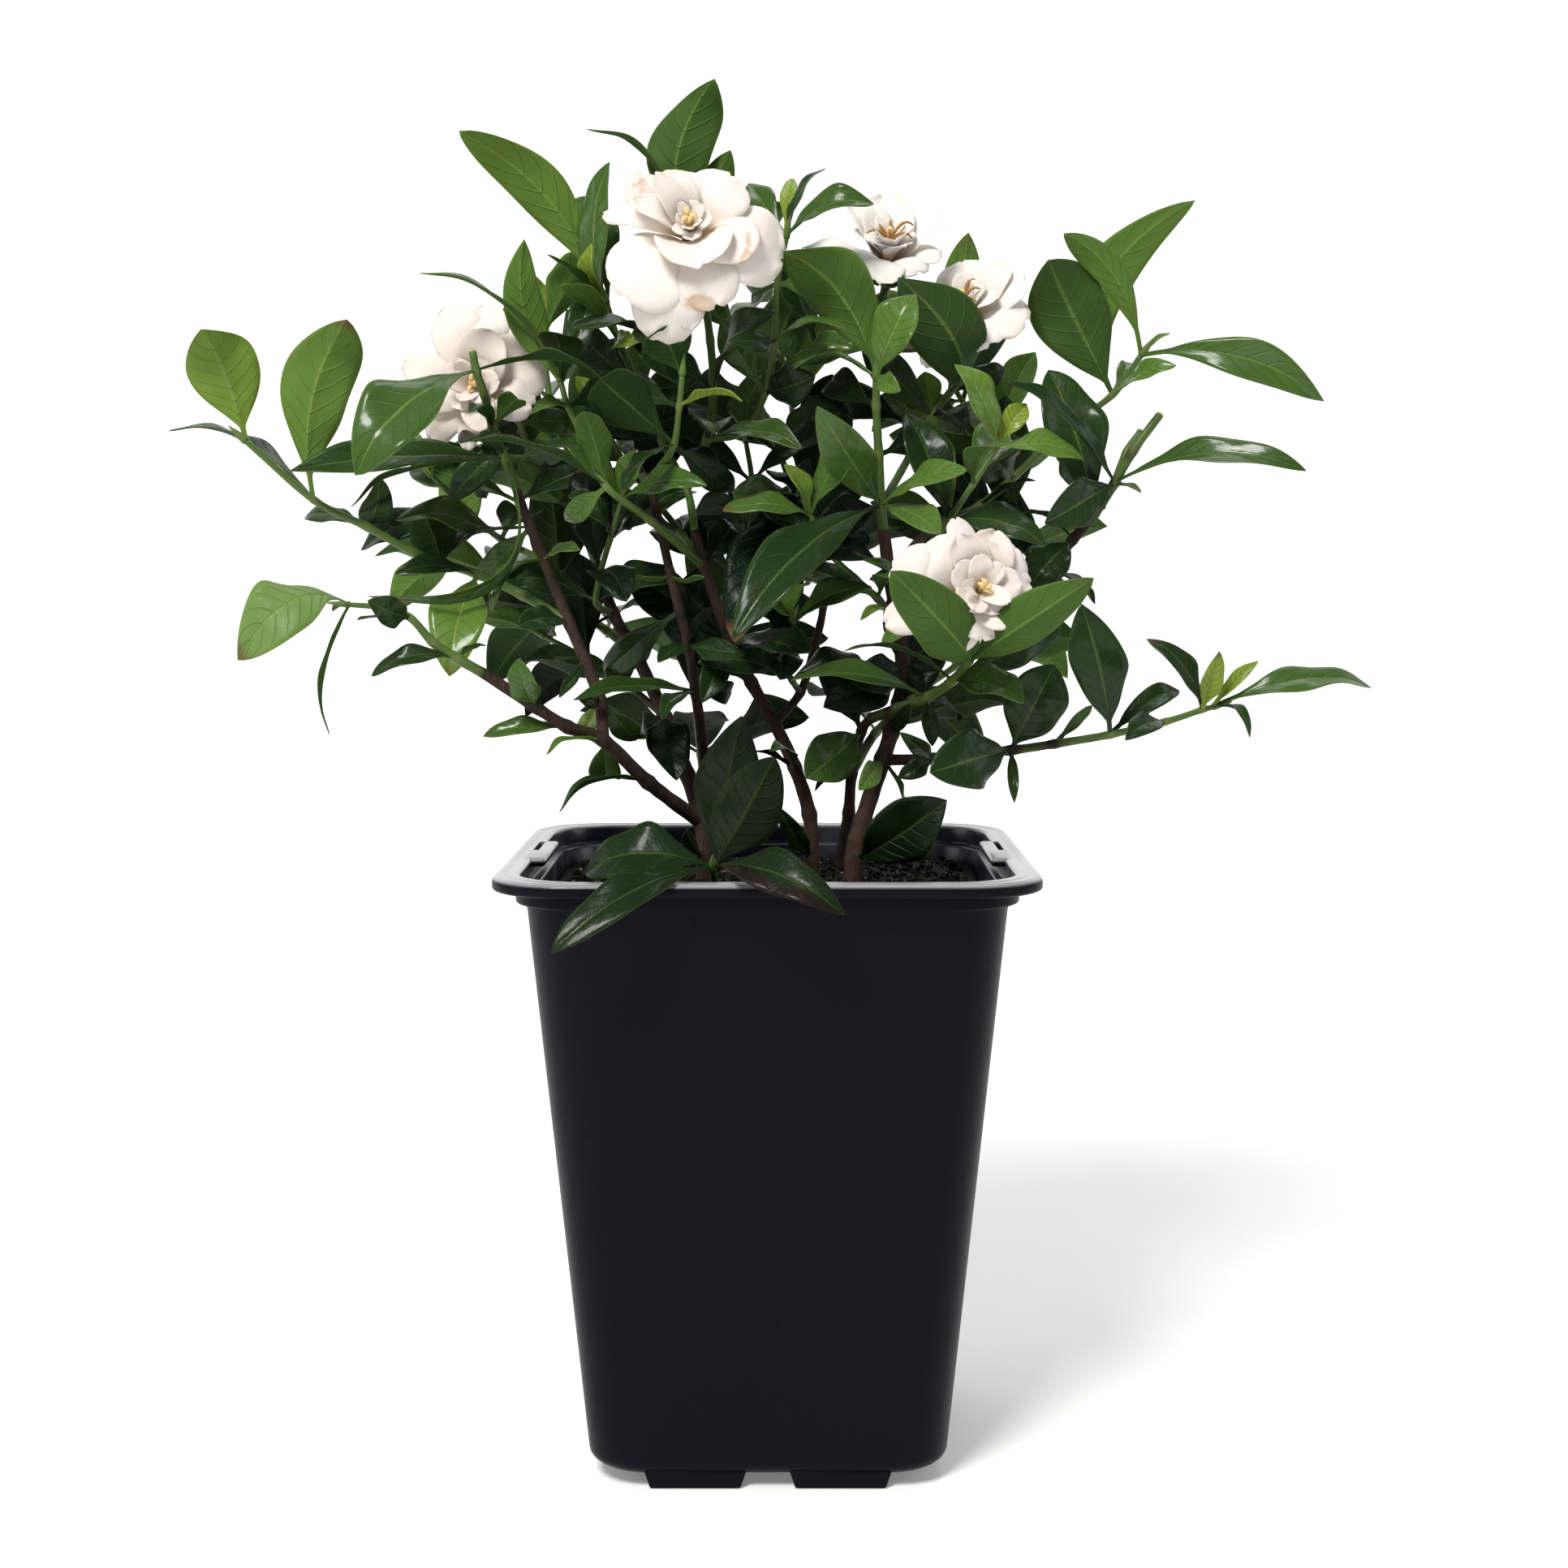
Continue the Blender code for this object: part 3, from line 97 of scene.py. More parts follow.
# Size of a foot pad, its place from the middle of a side, and how narrow it is at the ground
FOOT_PAD = (34, 12, 6.2)
FOOT_PLACE = 24
FOOT_TAPER = 0.88
PANEL = (45, 1.4, 5)
PANEL_HEIGHT = 193.5
DRAIN_RADIUS = 4
DRAIN_PLACES = ((0, 0), (32, 32), (-32, 32), (32, -32), (-32, -32))

SOIL_EDGE = 191.0
SOIL_CROWN = 197.5
SOIL_FLOOR = 6.9
SOIL_HALF = 74
CRUMBS_HALF = 70
CRUMBS_CORNER = 20
ROOTED_DEPTH = 25.0

# Leaves and flowers: a frame leaf's stalk as a share of its length, and a flower's depth under its centre
PETIOLE = 0.1
THROAT = 16.0

# Where the frame's leaves have their sections along their length. Narrow ones do with fewer.
LEAF_SECTIONS = (0.5, 0.8)
NARROW_SECTIONS = (0.25, 0.65)
NARROW = 12

# A shoot starts on its parent at the given point of the parent's path, or in the soil if it has no parent.
# bark runs from 0 (green) to 1 (woody). radii are at its two ends.
Shoot = namedtuple("Shoot", "name parent joint bark radii path leaves")

# A leaf grows from a point of its shoot's path. ways are the sides its upper face looks to, by their letters:
# Up, Down, Left, Right, Front and Back. arch bends its midrib upwards and sway sideways, fold is in degrees.
# Tones: -1 deep (painted shade), 0 dark, 1 mid green, 2 bright, 3 young, 4 pale. dry is how far one half has withered.
# A row of the table leaves out the last values that are the defaults.
Leaf = namedtuple("Leaf", "node tip width ways arch fold tone sway dry", defaults=("F", 3, 6, 0, 0, 0))

SHOOTS = [
    Shoot("trunk_left", "", 0, 1, (3.8, 2.5), [(-22, -12, 186), (-22, -12, 203), (-23, -11, 216), (-28, -5, 232),
        (-36, 5, 251), (-46, 16, 271), (-55, 26, 286), (-61, 32, 302)], [
        (1, (-28, -30, 216), 5, "LU", 1), (4, (-42, -25, 246), 9, "FL", 3, 10, 1), (4, (-31, -22, 232), 16, "F", 3, 8),
        (5, (-56, 0, 260), 9, "FU", 2, 6, 1), (6, (-69, 5, 274), 6, "U", 2)]),
    Shoot("branch_low_left", "trunk_left", 2, 1, (3.2, 2.2), [(-40, -26, 231), (-54, -38, 246), (-65, -46, 251),
        (-75, -52, 258), (-91, -56, 269)], [
        (1, (-68, -48, 226), 8, "U", 5, 14), (3, (-92, -50, 249), 8, "UF", 2, 8, 1),
        (4, (-79, -62, 273), 11, "FD", 2, 6, 1), (3, (-79, -30, 249), 4, "U", 2, 5, 1),
        (2, (-70, -60, 246), 4, "U", 2, 5, 2), (2, (-55, -20, 231), 11, "F", 2, 6, 1)]),
    Shoot("stem_left_rise", "branch_low_left", 2, 1, (2.7, 1.9), [(-56, -28, 259), (-61, -22, 271), (-67, -16, 284),
        (-76, -8, 305), (-81, -4, 316), (-86, 0, 329)], [
        (1, (-61, -38, 260), 6, "F", 1), (1, (-64, -5, 246), 7, "F", 1, 6, 4), (1, (-44, -8, 244), 9, "F", 3, 6, 1),
        (2, (-72, -28, 272), 4, "U", 1, 5), (2, (-69, -30, 260), 4, "F", 2), (3, (-82, -28, 284), 11, "FU", 2),
        (4, (-92, -30, 288), 6, "U", 6, 14, 1), (4, (-63, -22, 309), 7, "FU", 2, 10, 2),
        (5, (-105, -14, 311), 7, "U", 2), (5, (-100, 10, 298), 10, "F", 2, 6, 1)]),
    Shoot("shoot_far_left", "stem_left_rise", 3, 0.25, (2.1, 1.3), [(-83, -8, 293), (-98, -10, 300), (-110, -12, 304),
        (-120, -14, 308), (-134, -18, 316), (-151, -22, 325), (-172, -26, 344)], [
        (2, (-104, -42, 269), 19, "FU", 4, 6, 2), (2, (-124, -24, 301), 9, "UF", 3, 8), (3, (-119, 0, 323), 17, "B"),
        (3, (-105, 14, 319), 10, "F", 2), (5, (-159, 2, 320), 8, "FU"), (5, (-133, 4, 331), 12, "B", 3, 8),
        (6, (-202, -4, 351), 14, "U", 7, 10), (6, (-136, -34, 383), 25, "B", 4, 8, 1.9, 8),
        (7, (-183, -36, 380), 25, "B", 5, 10, 2.3)]),
    Shoot("shoot_left_low", "branch_low_left", 5, 0.35, (2.2, 1.0), [(-99, -60, 274), (-106, -62, 279),
        (-113, -64, 287), (-121, -66, 290), (-131, -68, 291)], [
        (1, (-125, -66, 269), 8, "UF", 5, 8), (3, (-123, -78, 292), 10, "F", 2), (3, (-132, -50, 286), 4, "U", 1),
        (5, (-161, -92, 275), 21, "FU", 13, 4, 4), (5, (-139, -74, 251), 5, "L", 4, 12, 1),
        (5, (-138, -60, 289), 4, "U", 1, 4, 1), (1, (-91, -48, 278), 4, "U", 1, 4)]),
    Shoot("stub_left", "stem_left_rise", 6, 0.3, (2.0, 1.6), [(-89, -6, 339), (-92, -14, 349), (-94, -22, 360),
        (-96, -25, 367), (-97, -26, 373)], [
        (4, (-131, -58, 335), 24, "FU", 6, 10, 1), (4, (-52, -30, 365), 12, "U", 5, 16),
        (2, (-81, -32, 358), 10, "BU", 3, 12, 1), (2, (-96, -34, 355), 8, "UF", 2, 10),
        (1, (-156, -34, 334), 15, "FU", 4, 8), (1, (-128, -30, 291), 6, "R", 26, 14, 1),
        (1, (-142, -8, 327), 7, "U", 4), (2, (-87, 24, 324), 10, "F", 3, 6, 2), (1, (-100, -30, 344), 12, "U", 4, 8)]),
    Shoot("shoot_flower_left", "stub_left", 1, 0.2, (1.8, 1.5), [(-83, 10, 341), (-86, 10, 352), (-92, 6, 363)], [
        (1, (-125, 6, 340), 12, "U"), (2, (-70, 24, 353), 10, "F", 3, 6, 1), (2, (-110, 20, 325), 11)]),
    Shoot("stem_centre", "", 0, 1, (2.7, 1.8), [(-18, 8, 183), (-21, 9, 206), (-22, 8, 223), (-23, 3, 243),
        (-25, -4, 260), (-27, -9, 276), (-30, -12, 288), (-33, -10, 300), (-37, -6, 317), (-40, -2, 329)], [
        (4, (-62, -40, 262), 8, "FU", 3, 12, 1), (4, (-35, -40, 256), 7, "U", 2, 8, 1),
        (5, (-36, -34, 272), 7, "UF", 2, 8, 1), (5, (-8, -30, 274), 8, "F", 2, 8, 1), (5, (-18, -36, 290), 4, "U", 1),
        (7, (-46, -22, 301), 5, "U", -2, 10, 2), (7, (-21, -24, 300), 5, "U", -2, 10, 2),
        (6, (-58, 10, 265), 11, "F", 3, 6, 1), (4, (-12, 12, 260), 8)]),
    Shoot("shoot_centre_low", "stem_centre", 9, 0.1, (1.6, 1.2), [(-36, -14, 336), (-31, -24, 343), (-29, -30, 355),
        (-28, -30, 365)], [
        (2, (-54, -50, 363), 20, "B", 5, 8), (3, (-8, -52, 356), 9, "U", 3, 10, 3), (4, (-34, -44, 380), 17, "B", 4, 8),
        (2, (-48, -40, 328), 9, "U", 3, 8), (3, (-48, 4, 365), 11), (2, (-11, -10, 328), 10)]),
    Shoot("trunk_middle", "", 0, 1, (3.5, 2.1), [(16, -6, 185), (15, -6, 202), (14, -4, 218), (9, -2, 234), (2, 0, 249),
        (-6, 2, 263), (-13, 2, 277), (-17, 0, 288), (-22, -4, 303), (-25, -8, 315)], [
        (3, (2, -28, 244), 7, "FU", 2, 6, 2), (3, (-5, -8, 241), 5, "U", 1), (6, (14, -40, 275), 16, "FU", 3, 8, 1),
        (5, (-37, -10, 286), 11), (6, (-22, -20, 258), 10, "F", 3, 6, 1), (8, (-12, 8, 318), 12),
        (6, (-50, 14, 302), 17, "F", 4), (1, (4, -20, 221), 7, "F", 1), (7, (4, 20, 302), 11)]),
    Shoot("shoot_left_mid", "trunk_middle", 8, 0.15, (1.8, 1.2), [(-39, -22, 318), (-53, -30, 329), (-60, -22, 343),
        (-67, -12, 356), (-70, -6, 365)], [
        (2, (-95, -50, 343), 12, "U", 5, 8), (2, (-59, -46, 353), 12, "B", 3, 6, 1), (1, (-47, -6, 321), 12, "F", 2),
        (2, (-69, -10, 318), 8, "F", 2, 6, 2), (5, (-81, -14, 411), 14, "B", 3, 6, 2, 5),
        (5, (-113, -12, 401), 8, "U", 8, 8, 1), (4, (-79, -16, 354), 6, "FU", 3, 10, 2),
        (3, (-84, -10, 340), 7, "FU", 2, 8), (5, (-59, 6, 400), 11), (4, (-49, 0, 365), 12),
        (5, (-71, -26, 381), 15, "FU")]),
    Shoot("shoot_top_left", "trunk_middle", 9, 0.1, (1.8, 1.2), [(-28, 4, 329), (-37, 10, 346), (-44, 12, 363),
        (-51, 8, 379), (-55, 4, 392)], [
        (5, (-102, -16, 446), 17, "B", 6, 8, 2, -9), (4, (-46, -22, 377), 8, "F", 2, 8, 3),
        (5, (-60, -8, 410), 9, "FL", 3, 12, 3), (5, (-53, -4, 437), 15, "FL", 3, 10, 1, -3),
        (5, (-76, 8, 429), 17, "F", 4, 6, 1, 9), (4, (-67, -14, 395), 9, "U", 3, 12, 2),
        (4, (-41, -30, 374), 8, "U", 2, 10, 1), (4, (-73, -10, 406), 8, "UF", 3, 8), (3, (-70, -4, 389), 17),
        (3, (-26, -10, 364), 11), (2, (-64, 12, 358), 14)]),
    Shoot("shoot_flower_top", "shoot_top_left", 1, 0.1, (1.8, 1.6), [(-21, 0, 346), (-19, 5, 362), (-20, 8, 380),
        (-23, 9, 398), (-28, 7, 414), (-29, -3, 418)], [
        (5, (-18, 4, 466), 24, "B", 4, 6, 1, 7), (5, (-13, 12, 444), 13, "B", 3, 6, 1),
        (5, (-58, 6, 452), 8, "U", 7, 8, 1), (2, (0, -26, 387), 15, "FU", 4, 8), (2, (-40, -16, 372), 12),
        (1, (10, -30, 344), 11, "FU", 3, 10, 1), (1, (-17, -44, 346), 14, "BU", 4, 14)]),
    Shoot("shoot_top_middle", "shoot_flower_top", 1, 0.05, (1.6, 1.2), [(-9, 10, 349), (-1, 4, 362), (2, -4, 378),
        (3, -8, 397), (6, -10, 412)], [
        (5, (34, -20, 423), 13, "FU", 5, 12, 1), (5, (18, -2, 437), 6, "U", 3, 10), (5, (8, 4, 435), 6, "F", 2, 6, 3),
        (5, (-7, 8, 433), 10, "F", 3, 6, 1), (5, (-13, -2, 421), 7, "U", 2), (4, (18, 10, 399), 12, "F", 3, 6, 2),
        (3, (-12, -30, 376), 8, "F", 2), (3, (25, -34, 381), 8, "UF", 4, 10, 1), (2, (26, 0, 377), 7, "UF", 4, 8, 2),
        (2, (-16, 4, 386), 11, "F", 3, 6, 1), (4, (-6, 12, 396), 8, "F", 3, 6, 1), (2, (15, 14, 366), 14)]),
    Shoot("trunk_right", "", 0, 1, (4.4, 2.6), [(27, -22, 187), (29, -20, 204), (32, -16, 217), (39, -8, 237),
        (42, -4, 246), (45, 0, 256), (46, 0, 268), (44, -4, 284), (41, -8, 300), (39, -10, 315)], [
        (1, (58, -42, 226), 22, "F", 4, 10, -0.8), (3, (31, -34, 230), 8, "F", 1, 8, 2),
        (3, (45, -22, 219), 5, "R", 3, 10), (4, (47, -18, 256), 6, "F", 1, 6, 1), (7, (-5, -56, 281), 12, "U", 7, 10),
        (8, (14, -40, 308), 16, "FU", 4, 8), (7, (31, -34, 288), 5, "UF", 3, 10, 3),
        (7, (39, -40, 279), 8, "F", 3, 14, 3), (8, (32, -34, 305), 4, "R", 3, 10, 3), (6, (28, -20, 264), 14),
        (6, (19, -20, 256), 16), (5, (60, 4, 277), 11)]),
    Shoot("trunk_back_right", "", 0, 1, (3.2, 2.0), [(25, 14, 188), (26, 14, 202), (28, 12, 217), (29, 10, 231),
        (32, 2, 246), (35, -4, 251)], [
        (4, (13, -20, 232), 18, "F", 3, 8, 2), (3, (16, 8, 225), 7, "U", 2), (4, (19, 10, 274), 14)]),
    Shoot("shoot_flower_right", "trunk_back_right", 5, 0.5, (2.4, 1.6), [(44, -13, 255), (53, -20, 259), (61, -28, 265),
        (66, -36, 272), (68, -42, 279)], [
        (4, (36, -74, 304), 20, "B", -7, 6, 1), (4, (103, -62, 300), 16, "B", -4, 8, 1),
        (3, (83, -44, 260), 16, "FU", 3, 10, 1), (3, (25, -52, 277), 6, "U", 5, 8),
        (2, (8, -46, 267), 11, "UF", 5, 10, 1), (2, (55, -24, 243), 6, "F", 2, 8), (2, (66, -4, 251), 7, "UF", 2, 8),
        (3, (100, -8, 283), 12), (2, (52, 4, 271), 11)]),
    Shoot("branch_long_right", "trunk_right", 3, 0.7, (2.4, 1.2), [(56, -14, 238), (82, -16, 241), (97, -14, 243),
        (116, -12, 246), (135, -8, 250), (148, -6, 254), (152, -5, 255)], [
        (2, (54, -44, 236), 20, "F", 3, 10), (2, (82, -30, 225), 4, "U"), (1, (45, -30, 247), 6, "F", 2),
        (1, (44, -20, 232), 7, "F", 2, 8), (2, (96, -20, 270), 21, "F", 3, 8), (4, (104, -28, 290), 19, "F", 4, 10),
        (4, (141, -2, 262), 9, "UF", 3, 8), (5, (120, -26, 247), 10, "UF", 2, 8), (6, (130, -12, 279), 9, "FU", 4, 12),
        (6, (152, -16, 274), 8, "F", 2, 10, 3), (7, (166, -10, 271), 5, "FU", 2, 10, 3),
        (7, (207, -2, 263), 13, "UF", 9, 8, 1), (7, (163, -16, 246), 5, "U", 5, 8),
        (3, (112, 4, 255), 4, "F", 1, 6, 1)]),
    Shoot("branch_right_up", "trunk_right", 6, 0.9, (2.6, 1.8), [(65, 14, 278), (82, 18, 290), (97, 14, 302),
        (105, 8, 312), (112, 4, 321), (118, 0, 331), (124, -2, 342), (133, 0, 354)], [
        (4, (89, 0, 296), 16, "FU", 2, 8), (3, (113, 4, 291), 7, "U", 2, 10), (3, (86, 4, 278), 8, "U", 3, 10, 1),
        (4, (85, 10, 321), 7, "U", 4, 8), (5, (107, -10, 327), 7, "F", 3, 12), (6, (81, -24, 365), 12, "UF", 4, 14),
        (5, (96, 6, 370), 22, "F", 4, 10), (6, (177, -4, 335), 12, "UF", 8, 14, 1, -2),
        (6, (125, -14, 328), 4, "U", 1, 6, 1), (6, (94, -14, 318), 16, "F", 3, 8), (2, (99, 30, 276), 14),
        (3, (77, 34, 329), 12)]),
    Shoot("stub_right_short", "branch_right_up", 6, 0.4, (1.7, 1.6), [(123, 7, 342), (128, 9, 349)], []),
    Shoot("branch_right_top", "trunk_right", 8, 0.6, (2.2, 1.3), [(57, 18, 316), (74, 26, 324), (86, 26, 334),
        (103, 20, 350), (119, 14, 362), (128, 10, 375)], [
        (6, (99, -6, 414), 12, "B", 5, 8, 2, -8), (6, (188, -4, 359), 14, "F", 6, 10, 1, -7),
        (6, (138, 12, 383), 4, "U", 1, 6, 2), (5, (136, 0, 372), 9, "FU", 2, 8, 2),
        (5, (126, 22, 375), 6, "F", 2, 8, 1), (5, (147, 26, 428), 18, "B", 5, 6, 2, 18),
        (5, (94, -2, 406), 27, "B", 5, 8, 0.8), (3, (74, 14, 354), 12, "U", 4, 8, 1), (3, (72, 4, 345), 16, "F", 3, 8),
        (4, (110, 30, 330), 12), (2, (92, 20, 333), 5, "U", 2), (3, (93, 34, 305), 9, "F", 2, 8),
        (2, (64, 34, 342), 13)]),
    Shoot("shoot_centre_right", "trunk_right", 9, 0.1, (2.2, 1.6), [(38, -12, 323), (37, -14, 340), (36, -16, 356),
        (36, -18, 365)], [
        (4, (6, -46, 406), 27, "B", 6, 6, 1, -4), (4, (48, -24, 392), 17, "FU", 4, 10, 2),
        (4, (43, -34, 360), 7, "F", 2, 10, 2), (4, (10, -6, 376), 7, "U", 3, 8, 2),
        (1, (17, -42, 353), 16, "F", 4, 10, 1), (1, (56, -40, 314), 12, "UF", 2, 8, 2),
        (1, (64, -38, 335), 11, "UF", 3, 12, 2), (2, (23, 14, 345), 13), (3, (20, 14, 368), 12), (2, (56, 4, 349), 14),
        (1, (20, -6, 318), 14), (1, (-11, -50, 282), 20, "FU", 8, 8)]),
    Shoot("shoot_flower_back", "shoot_centre_right", 1, 0.1, (1.8, 1.5), [(49, 16, 341), (57, 20, 355), (63, 18, 363),
        (67, 14, 367)], [
        (3, (43, 0, 400), 26, "B", 6, 10, 0, -7), (3, (70, 34, 419), 16, "B", 3, 6, 2), (3, (83, 26, 372), 9, "F", 2),
        (2, (54, 16, 370), 10, "B", 2, 8, 2), (2, (62, -4, 324), 8, "F", 3, 10, 3), (2, (68, 6, 349), 12, "U", 3, 14),
        (2, (32, 24, 381), 13), (2, (82, 40, 359), 9, "F", 2, 6, 1)]),
    Shoot("shoot_flower_middle", "shoot_flower_back", 1, 0.1, (1.7, 1.5), [(48, 22, 353), (42, 18, 375),
        (39, 8, 394)], [
        (2, (18, 34, 396), 13, "F", 3, 6, 1), (1, (21, 40, 365), 13), (2, (59, 42, 388), 13)]),
    Shoot("stem_middle_right", "trunk_middle", 4, 0.9, (2.0, 1.5), [(11, 12, 259), (16, 16, 275), (19, 16, 290),
        (16, 12, 303), (11, 8, 314), (9, 4, 327)], [
        (6, (-11, -38, 281), 20, "FU", 4, 8), (6, (-11, -28, 323), 15, "UF", 3, 12, 2),
        (6, (6, -30, 333), 16, "BU", 3, 16), (5, (21, 20, 330), 14), (3, (-5, 24, 289), 13), (4, (34, 24, 319), 13),
        (2, (32, 24, 263), 11), (5, (36, 26, 341), 13)]),
    # The low leaves under the shrub take tones under 0: painted shade.
    Shoot("shoot_low_front", "", 0, 0.3, (2.0, 1.4), [(-18, -48, 188), (-17, -60, 198), (-17, -73, 208.5)], [
        (2, (-9, -38, 252), 21, "B", 4, 8, -1), (2, (2, -60, 242), 22, "B", 5, 8, -1),
        (2, (-58, -70, 208), 20, "FU", 7, 8, -0.3), (2, (-65, -106, 187), 14, "FU", 8, 8, -0.4),
        (2, (23, -104, 200), 16, "FU", 8, 10, -0.6, 0, 1), (1, (10, -44, 211), 8, "U", 3, 8)]),
]

# Shoots whose leaves stand in crossed pairs at the points of the path. Their leaves are given as (size, way).
TWIGS = [
    Shoot("back_left_top", "trunk_left", 7, 0.3, (2.3, 1.4), [(-68, 44, 322), (-72, 55, 341), (-80, 60, 363),
        (-83, 64, 386)], (0.97, "B")),
    Shoot("back_left_low", "trunk_left", 5, 0.4, (2.2, 1.3), [(-58, 32, 280), (-76, 46, 290), (-96, 58, 298),
        (-114, 64, 308)], (1.0, "B")),
    Shoot("back_middle_low", "stem_centre", 2, 0.5, (2.2, 1.3), [(-24, 24, 236), (-26, 42, 250), (-24, 56, 262),
        (-20, 66, 276)], (1.0, "B")),
    Shoot("back_right_low", "trunk_back_right", 3, 0.5, (2.2, 1.3), [(38, 26, 244), (52, 42, 256), (68, 56, 266),
        (84, 64, 278)], (1.0, "B")),
    Shoot("back_middle", "stem_middle_right", 3, 0.3, (1.7, 1.2), [(18, 34, 304), (14, 48, 322), (10, 58, 342),
        (8, 62, 362)], (1.0, "B")),
    Shoot("back_right", "branch_right_up", 2, 0.4, (1.8, 1.2), [(84, 34, 304), (86, 48, 318), (86, 58, 332),
        (82, 64, 348)], (0.9, "B")),
    Shoot("back_centre_top", "stem_middle_right", 4, 0.1, (1.5, 1.1), [(4, 22, 342), (-4, 34, 362), (-12, 40, 384),
        (-18, 42, 404)], (0.9, "B")),
    Shoot("back_right_top", "branch_right_top", 3, 0.2, (1.5, 1.1), [(80, 42, 346), (70, 52, 362),
        (60, 58, 380)], (0.9, "B")),
    Shoot("twig_left", "trunk_left", 6, 0.5, (1.6, 1.1), [(-60, 14, 290), (-58, 4, 300), (-54, -2, 312),
        (-50, -2, 325)], (0.75, "F")),
    Shoot("twig_far_left", "stem_left_rise", 4, 0.3, (1.6, 1.1), [(-92, 6, 312), (-104, 10, 322),
        (-116, 8, 334)], (0.8, "F")),
    Shoot("twig_left_middle", "stem_left_rise", 5, 0.2, (1.5, 1.0), [(-87, 12, 325), (-89, 21, 336),
        (-92, 28, 346)], (0.8, "F")),
    Shoot("twig_left_low", "trunk_left", 4, 0.6, (1.7, 1.1), [(-50, 14, 262), (-64, 24, 270),
        (-80, 30, 278)], (0.75, "B")),
    Shoot("twig_centre_left", "trunk_middle", 8, 0.3, (1.6, 1.1), [(-30, 8, 314), (-40, 20, 326), (-50, 28, 338),
        (-58, 30, 352)], (0.85, "B")),
    Shoot("twig_centre", "trunk_middle", 7, 0.4, (1.6, 1.1), [(-12, 12, 300), (-8, 18, 316), (-6, 18, 332),
        (-8, 24, 346)], (0.8, "F")),
    Shoot("twig_flower_top", "shoot_flower_top", 2, 0.1, (1.3, 1.0), [(-30, 12, 368), (-38, 8, 380),
        (-42, 4, 394)], (0.7, "F")),
    Shoot("twig_top_middle", "shoot_top_middle", 2, 0.1, (1.3, 1.0), [(8, 14, 368), (16, 16, 380),
        (24, 14, 392)], (0.7, "F")),
    Shoot("twig_low_middle", "stem_middle_right", 1, 0.6, (1.5, 1.0), [(8, -2, 264), (4, -12, 272),
        (8, -18, 284)], (0.7, "F")),
    Shoot("twig_right", "trunk_right", 7, 0.5, (1.7, 1.1), [(37, -10, 292), (29, -18, 299), (20, -22, 308),
        (14, -22, 320)], (0.75, "F")),
    Shoot("twig_right_up", "trunk_right", 8, 0.4, (1.6, 1.1), [(52, -14, 308), (60, -20, 318), (68, -22, 330),
        (76, -20, 342)], (0.75, "F")),
    Shoot("twig_right_low", "branch_right_up", 1, 0.5, (1.6, 1.1), [(68, 26, 286), (70, 36, 298),
        (68, 44, 312)], (0.85, "B")),
]
PAIR_LENGTHS = (46, 52, 43, 49)
# Width of a paired leaf as a share of its length, and the length and width of the leaf at a shoot's end
PAIR_SHAPE = 0.42
END_LEAF = (24, 9)

# A flower sits on the end of its shoot. blush runs from 0 (fresh) to 1 (old), and ripe from 0 (cream stamens) to 1.
# heart is the size of its middle petals.
# Each petal is (clock angle, reach, lift along the flower's axis, width).
Flower = namedtuple("Flower", "name parent centre axis blush stamens ripe heart petals")
FLOWERS = [
    # flower_top's blush is partly its age tint and partly painted shade, the pink of its shaded petals.
    Flower("flower_top", "shoot_flower_top", (-25, -38, 413), (0, -0.93, 0.37), 0.45, 7, 0.1, 0.5,
           ((222, 31, -2, 30), (197, 37, -8, 24), (162, 28, -2, 21), (181, 33, -9, 12), (170, 16, 6, 25),
            (113, 23, 2, 18), (103, 32, -6, 28), (38, 22, 0, 22), (346, 19, 0, 18), (310, 26, -2, 14),
            (284, 30, -5, 9), (330, 17, 4, 15), (299, 22, 7, 12), (280, 16, 8, 9), (314, 14, 10, 9))),
    Flower("flower_left", "shoot_flower_left", (-100, 0, 364), (-0.18, -0.93, 0.1), 0.75, 3, 0.1, 0.8,
           ((289, 31, -5, 13), (337, 31, -3, 19), (2, 29, -2, 20), (34, 28, -3, 20), (70, 24, -4, 20),
            (108, 20, -1, 15), (139, 15, 2, 13), (190, 22, -4, 8), (228, 26, -5, 14), (20, 18, 4, 19),
            (255, 17, 2, 14), (165, 15, 3, 12))),
    Flower("flower_middle", "shoot_flower_middle", (41, 4, 412), (0.05, -0.5, 0.86), 0.0, 6, 1.0, 0.75,
           ((275, 28, 2, 14), (320, 18, 10, 16), (0, 18, 11, 18), (60, 20, 7, 19), (100, 18, -1, 16),
            (150, 17, -2, 15), (200, 20, -2, 18), (240, 17, -1, 14))),
    Flower("flower_right", "shoot_flower_back", (67, 6, 392), (-0.3, -0.66, 0.69), 0.1, 5, 0.9, 0.8,
           ((345, 20, 4, 20), (25, 20, 4, 20), (60, 22, 2, 18), (100, 22, -3, 20), (140, 20, -3, 18),
            (180, 18, -2, 18), (215, 24, -8, 12), (262, 18, -3, 15), (310, 18, 0, 16))),
    Flower("flower_low", "shoot_flower_right", (68, -58, 296), (0.22, -0.94, 0.22), 0.45, 4, 0.0, 0.85,
           ((345, 24, 0, 10), (332, 17, 6, 16), (17, 18, 4, 16), (44, 18, 1, 18), (84, 17, 0, 16),
            (141, 15, 3, 16), (180, 16, 0, 14), (209, 22, -6, 14), (253, 32, -8, 14), (287, 29, -5, 20),
            (309, 22, -2, 20))),
]
# Petals round the stamens of every flower
HEART_PETALS = (
    (15, 13, 4, 13), (88, 12, 5, 12), (160, 13, 4, 13), (228, 12, 5, 12), (300, 13, 4, 12), (50, 9, 7, 9),
    (125, 8, 8, 8), (195, 9, 7, 9), (268, 8, 8, 8), (335, 9, 7, 9),
)
# A brown mark on the flower's face: its place to the right and up, and its half width and height
STAIN = ("flower_top", (3.0, -25.5), (6.0, 2.2))

